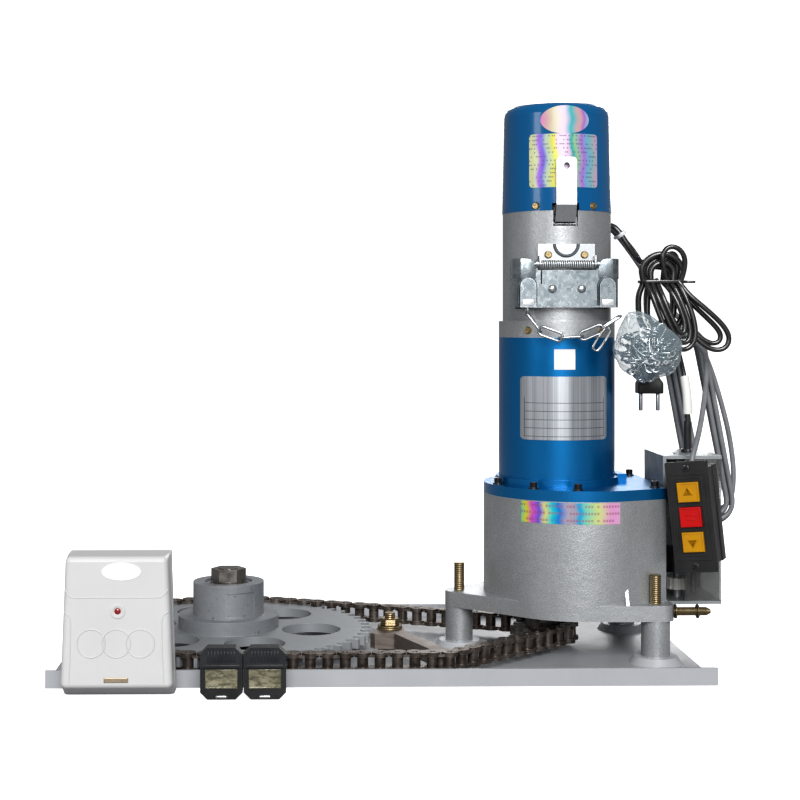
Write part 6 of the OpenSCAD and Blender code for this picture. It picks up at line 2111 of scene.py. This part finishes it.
@dataclass
class BoxTrim:
    """The gear housing's foil strip and the limit box's small parts."""

    low: float = 0.1352
    high: float = 0.1552
    start: float = math.radians(-44)
    end: float = math.radians(17.7)
    housing_r: float = 0.09
    housing_x: float = 0.199
    grommet: Point = (0.312, 0, 0.1963)
    grommet_r: float = 0.0066
    grommet_h: float = 0.0045
    rod: Point = (0.3175, 0, 0.123)
    rod_r: float = 0.0028
    rod_length: float = 0.14

    def build(self) -> None:
        """Makes the strip, the cable grommet and the threaded rod that shows through the clear cover."""
        left, right = self.start * self.housing_r, self.end * self.housing_r
        middle = ((left + right) / 2, -0.0001, (self.low + self.high) / 2)
        strip = sheet("housing_strip", middle, right - left, self.high - self.low)
        foiled(sliced(strip, left, right, 24), lambda z: self.housing_r, self.housing_x)
        hand_over(strip, "operator", "strip_foil")
        grommet = turned("limit_grommet", self.grommet, self.grommet_r, self.grommet_h,
                         sides=40, bevel=0.0009)
        hand_over(grommet, "operator", "black_sheath")
        rod = turned("limit_rod", self.rod, self.rod_r, self.rod_length, sides=24, bevel=0.0006)
        hand_over(rod, "operator", "yellow_zinc")


@dataclass(frozen=True)
class SoftBox:
    """A square soft light: where it stands, what it looks at, its size and its power."""

    name: str
    at: Point
    aim: Point
    size: float
    power: float


@dataclass
class Studio:
    """The camera at the photograph's angle, the pale floor and the soft lights."""

    place: Point = (-0.0709, -1.4829, 0.3258)
    turn: float = -1.06
    lens: float = 67.23
    shift: tuple[float, float] = (0.08625, -0.09875)
    floor_size: float = 60
    floor_z: float = -0.0006
    sky: float = 0.24
    sun: float = 2.4
    sun_angle: float = 30
    sun_turn: Point = (58, 0, 4)
    boxes: tuple[SoftBox, ...] = (
        SoftBox("key_box", (0.1, -1.9, 0.75), (0.15, 0, 0.25), 0.9, 7.5),
        SoftBox("fill_box", (-1.3, -1.2, 0.8), (0.1, 0, 0.2), 0.5, 4),
        SoftBox("back_box", (0.6, 1.6, 1.0), (0.1, 0, 0.2), 0.9, 13))

    def build(self) -> None:
        """Makes the camera, the floor and the lights."""
        self.camera()
        self.floor()
        self.sky_light()
        self.lights()

    def placed(self, name: str, data: bpy.types.ID, at: Point = (0, 0, 0), turn: Point = (0, 0, 0)) -> Piece:
        """Puts a camera or a light in the scene.

        Args:
            name: Its name.
            data: The camera's or the light's settings.
            at: Its place.
            turn: Its turn about each axis.

        Returns:
            The object.
        """
        made = bpy.data.objects.new(name, data)
        made.location, made.rotation_euler = at, turn
        bpy.context.scene.collection.objects.link(made)
        return made

    def camera(self) -> None:
        """Sets the camera."""
        data = bpy.data.cameras.new("camera")
        data.lens, data.sensor_width = self.lens, 36
        data.shift_x, data.shift_y = self.shift
        turn = (QUARTER, 0, math.radians(self.turn))
        bpy.context.scene.camera = self.placed("camera", data, self.place, turn)

    def floor(self) -> None:
        """Makes a pale floor that runs out of sight."""
        let_go()
        bpy.ops.mesh.primitive_plane_add(size=self.floor_size, location=(0, 0, self.floor_z))
        floor = named("floor")
        r = Recipe("pale_floor")
        patches = r.group(Shared.mottle, r.object_map, 3.0, 0.1)
        cloud = r.blend(patches, (0.93, 0.93, 0.93), (0.92, 0.92, 0.92))
        seen = r.node("ShaderNodeLightPath").outputs["Is Camera Ray"]
        r.put(Base_Color=r.blend(seen, (0.3, 0.3, 0.31), cloud), Roughness=0.9)
        r.put(Emission_Color=(1.0, 1.0, 1.0), Emission_Strength=r.math("MULTIPLY", seen, 0.7))
        floor.data.materials.append(r.material)

    def sky_light(self) -> None:
        """Sets an even sky that is white to the camera and soft as a light."""
        world = bpy.data.worlds.new("studio")
        world.use_nodes = True
        w = Wiring(world.node_tree)
        seen = w.node("ShaderNodeLightPath").outputs["Is Camera Ray"]
        strength = w.math("ADD", w.math("MULTIPLY", seen, 1 - self.sky), self.sky)
        background = world.node_tree.nodes["Background"]
        w.join(strength, background.inputs["Strength"])
        w.join((1, 1, 1, 1), background.inputs["Color"])
        scene = bpy.context.scene
        scene.world = world
        scene.view_settings.view_transform = "Standard"
        scene.view_settings.look = "Medium High Contrast"

    def lights(self) -> None:
        """Sets a soft sun and three soft boxes."""
        sun = bpy.data.lights.new("even_sun", "SUN")
        sun.energy, sun.angle = self.sun, math.radians(self.sun_angle)
        self.placed("even_sun", sun, turn=tuple(math.radians(degrees) for degrees in self.sun_turn))
        for box in self.boxes:
            light = bpy.data.lights.new(box.name, "AREA")
            light.energy, light.size = box.power, box.size
            turn = (Vector(box.at) - Vector(box.aim)).to_track_quat("Z", "Y").to_euler()
            self.placed(box.name, light, box.at, turn)


CAD_FINISHES = {
    "plate_paint": ("base_plate",),
    "hammered_silver": ("gear_housing", "end_shield", "brake_housing", "leg_spacers"),
    "hub_paint": ("sprocket_hub",),
    "wheel_paint": ("sprocket_wheel",),
    "greasy_steel": ("drum_axle", "output_shaft", "drive_sprocket", "rotor", "brake_disc", "chain_wheel",
                     "brake_coil"),
    "copper_winding": ("stator",),
    "ground_steel": ("output_gear", "counter_gear", "shaft_bearings", "armature_plate"),
    "chain_steel": ("drive_chain",),
    "pawl_steel": ("pawl_arm",),
    "flake_blue": ("gear_cover", "motor_tube"),
    "cap_gloss": ("top_cap",),
    "zinc_spangle": ("chain_guard",),
    "bright_zinc": ("pivot_pins", "release_lever", "guide_bracket"),
    "chain_zinc": ("hand_chain",),
    "yellow_zinc": ("brass_screws",),
    "thread_upright": ("plate_bolts",),
    "thread_along": ("earth_bolt",),
    "black_oxide": ("cover_screws",),
    "ruled_nameplate": ("nameplate",),
    "bracket_zinc": ("limit_bracket",),
    "smoky_cover": ("limit_cover",),
    "black_plastic": ("station_case", "station_plate", "limit_switches", "remote_case_left",
                      "remote_case_right", "cable_gland"),
    "ribbed_plastic": ("remote_cover_left", "remote_cover_right"),
    "case_plastic": ("receiver_case",),
    "pale_plastic": ("limit_wheel_upper", "limit_wheel_lower", "capacitor"),
    "button_yellow": ("button_up", "button_down"),
    "button_red": ("button_stop",),
}


def dress_cad() -> None:
    """Gives every CAD node that still shows its finish."""
    for finish, nodes in CAD_FINISHES.items():
        for node in nodes:
            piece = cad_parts[node]
            piece.data.materials.clear()
            piece.data.materials.append(Shop.get(finish))
            LOG.info("%s is finished in %s", node, finish)


def main() -> None:
    """Builds the sub-assemblies in order."""
    let_go()
    Shared.build()
    stock_paints_and_metals()
    stock_plastics_and_prints()
    Studio().build()
    Cords().build()
    dress_cad()
    MotorTrim().build()
    Bag().build()
    Station().build()
    Receiver().build()
    Remote(Side.LEFT, -0.1415).build()
    Remote(Side.RIGHT, -0.104).build()
    BoxTrim().build()


if __name__ == "__main__":
    main()
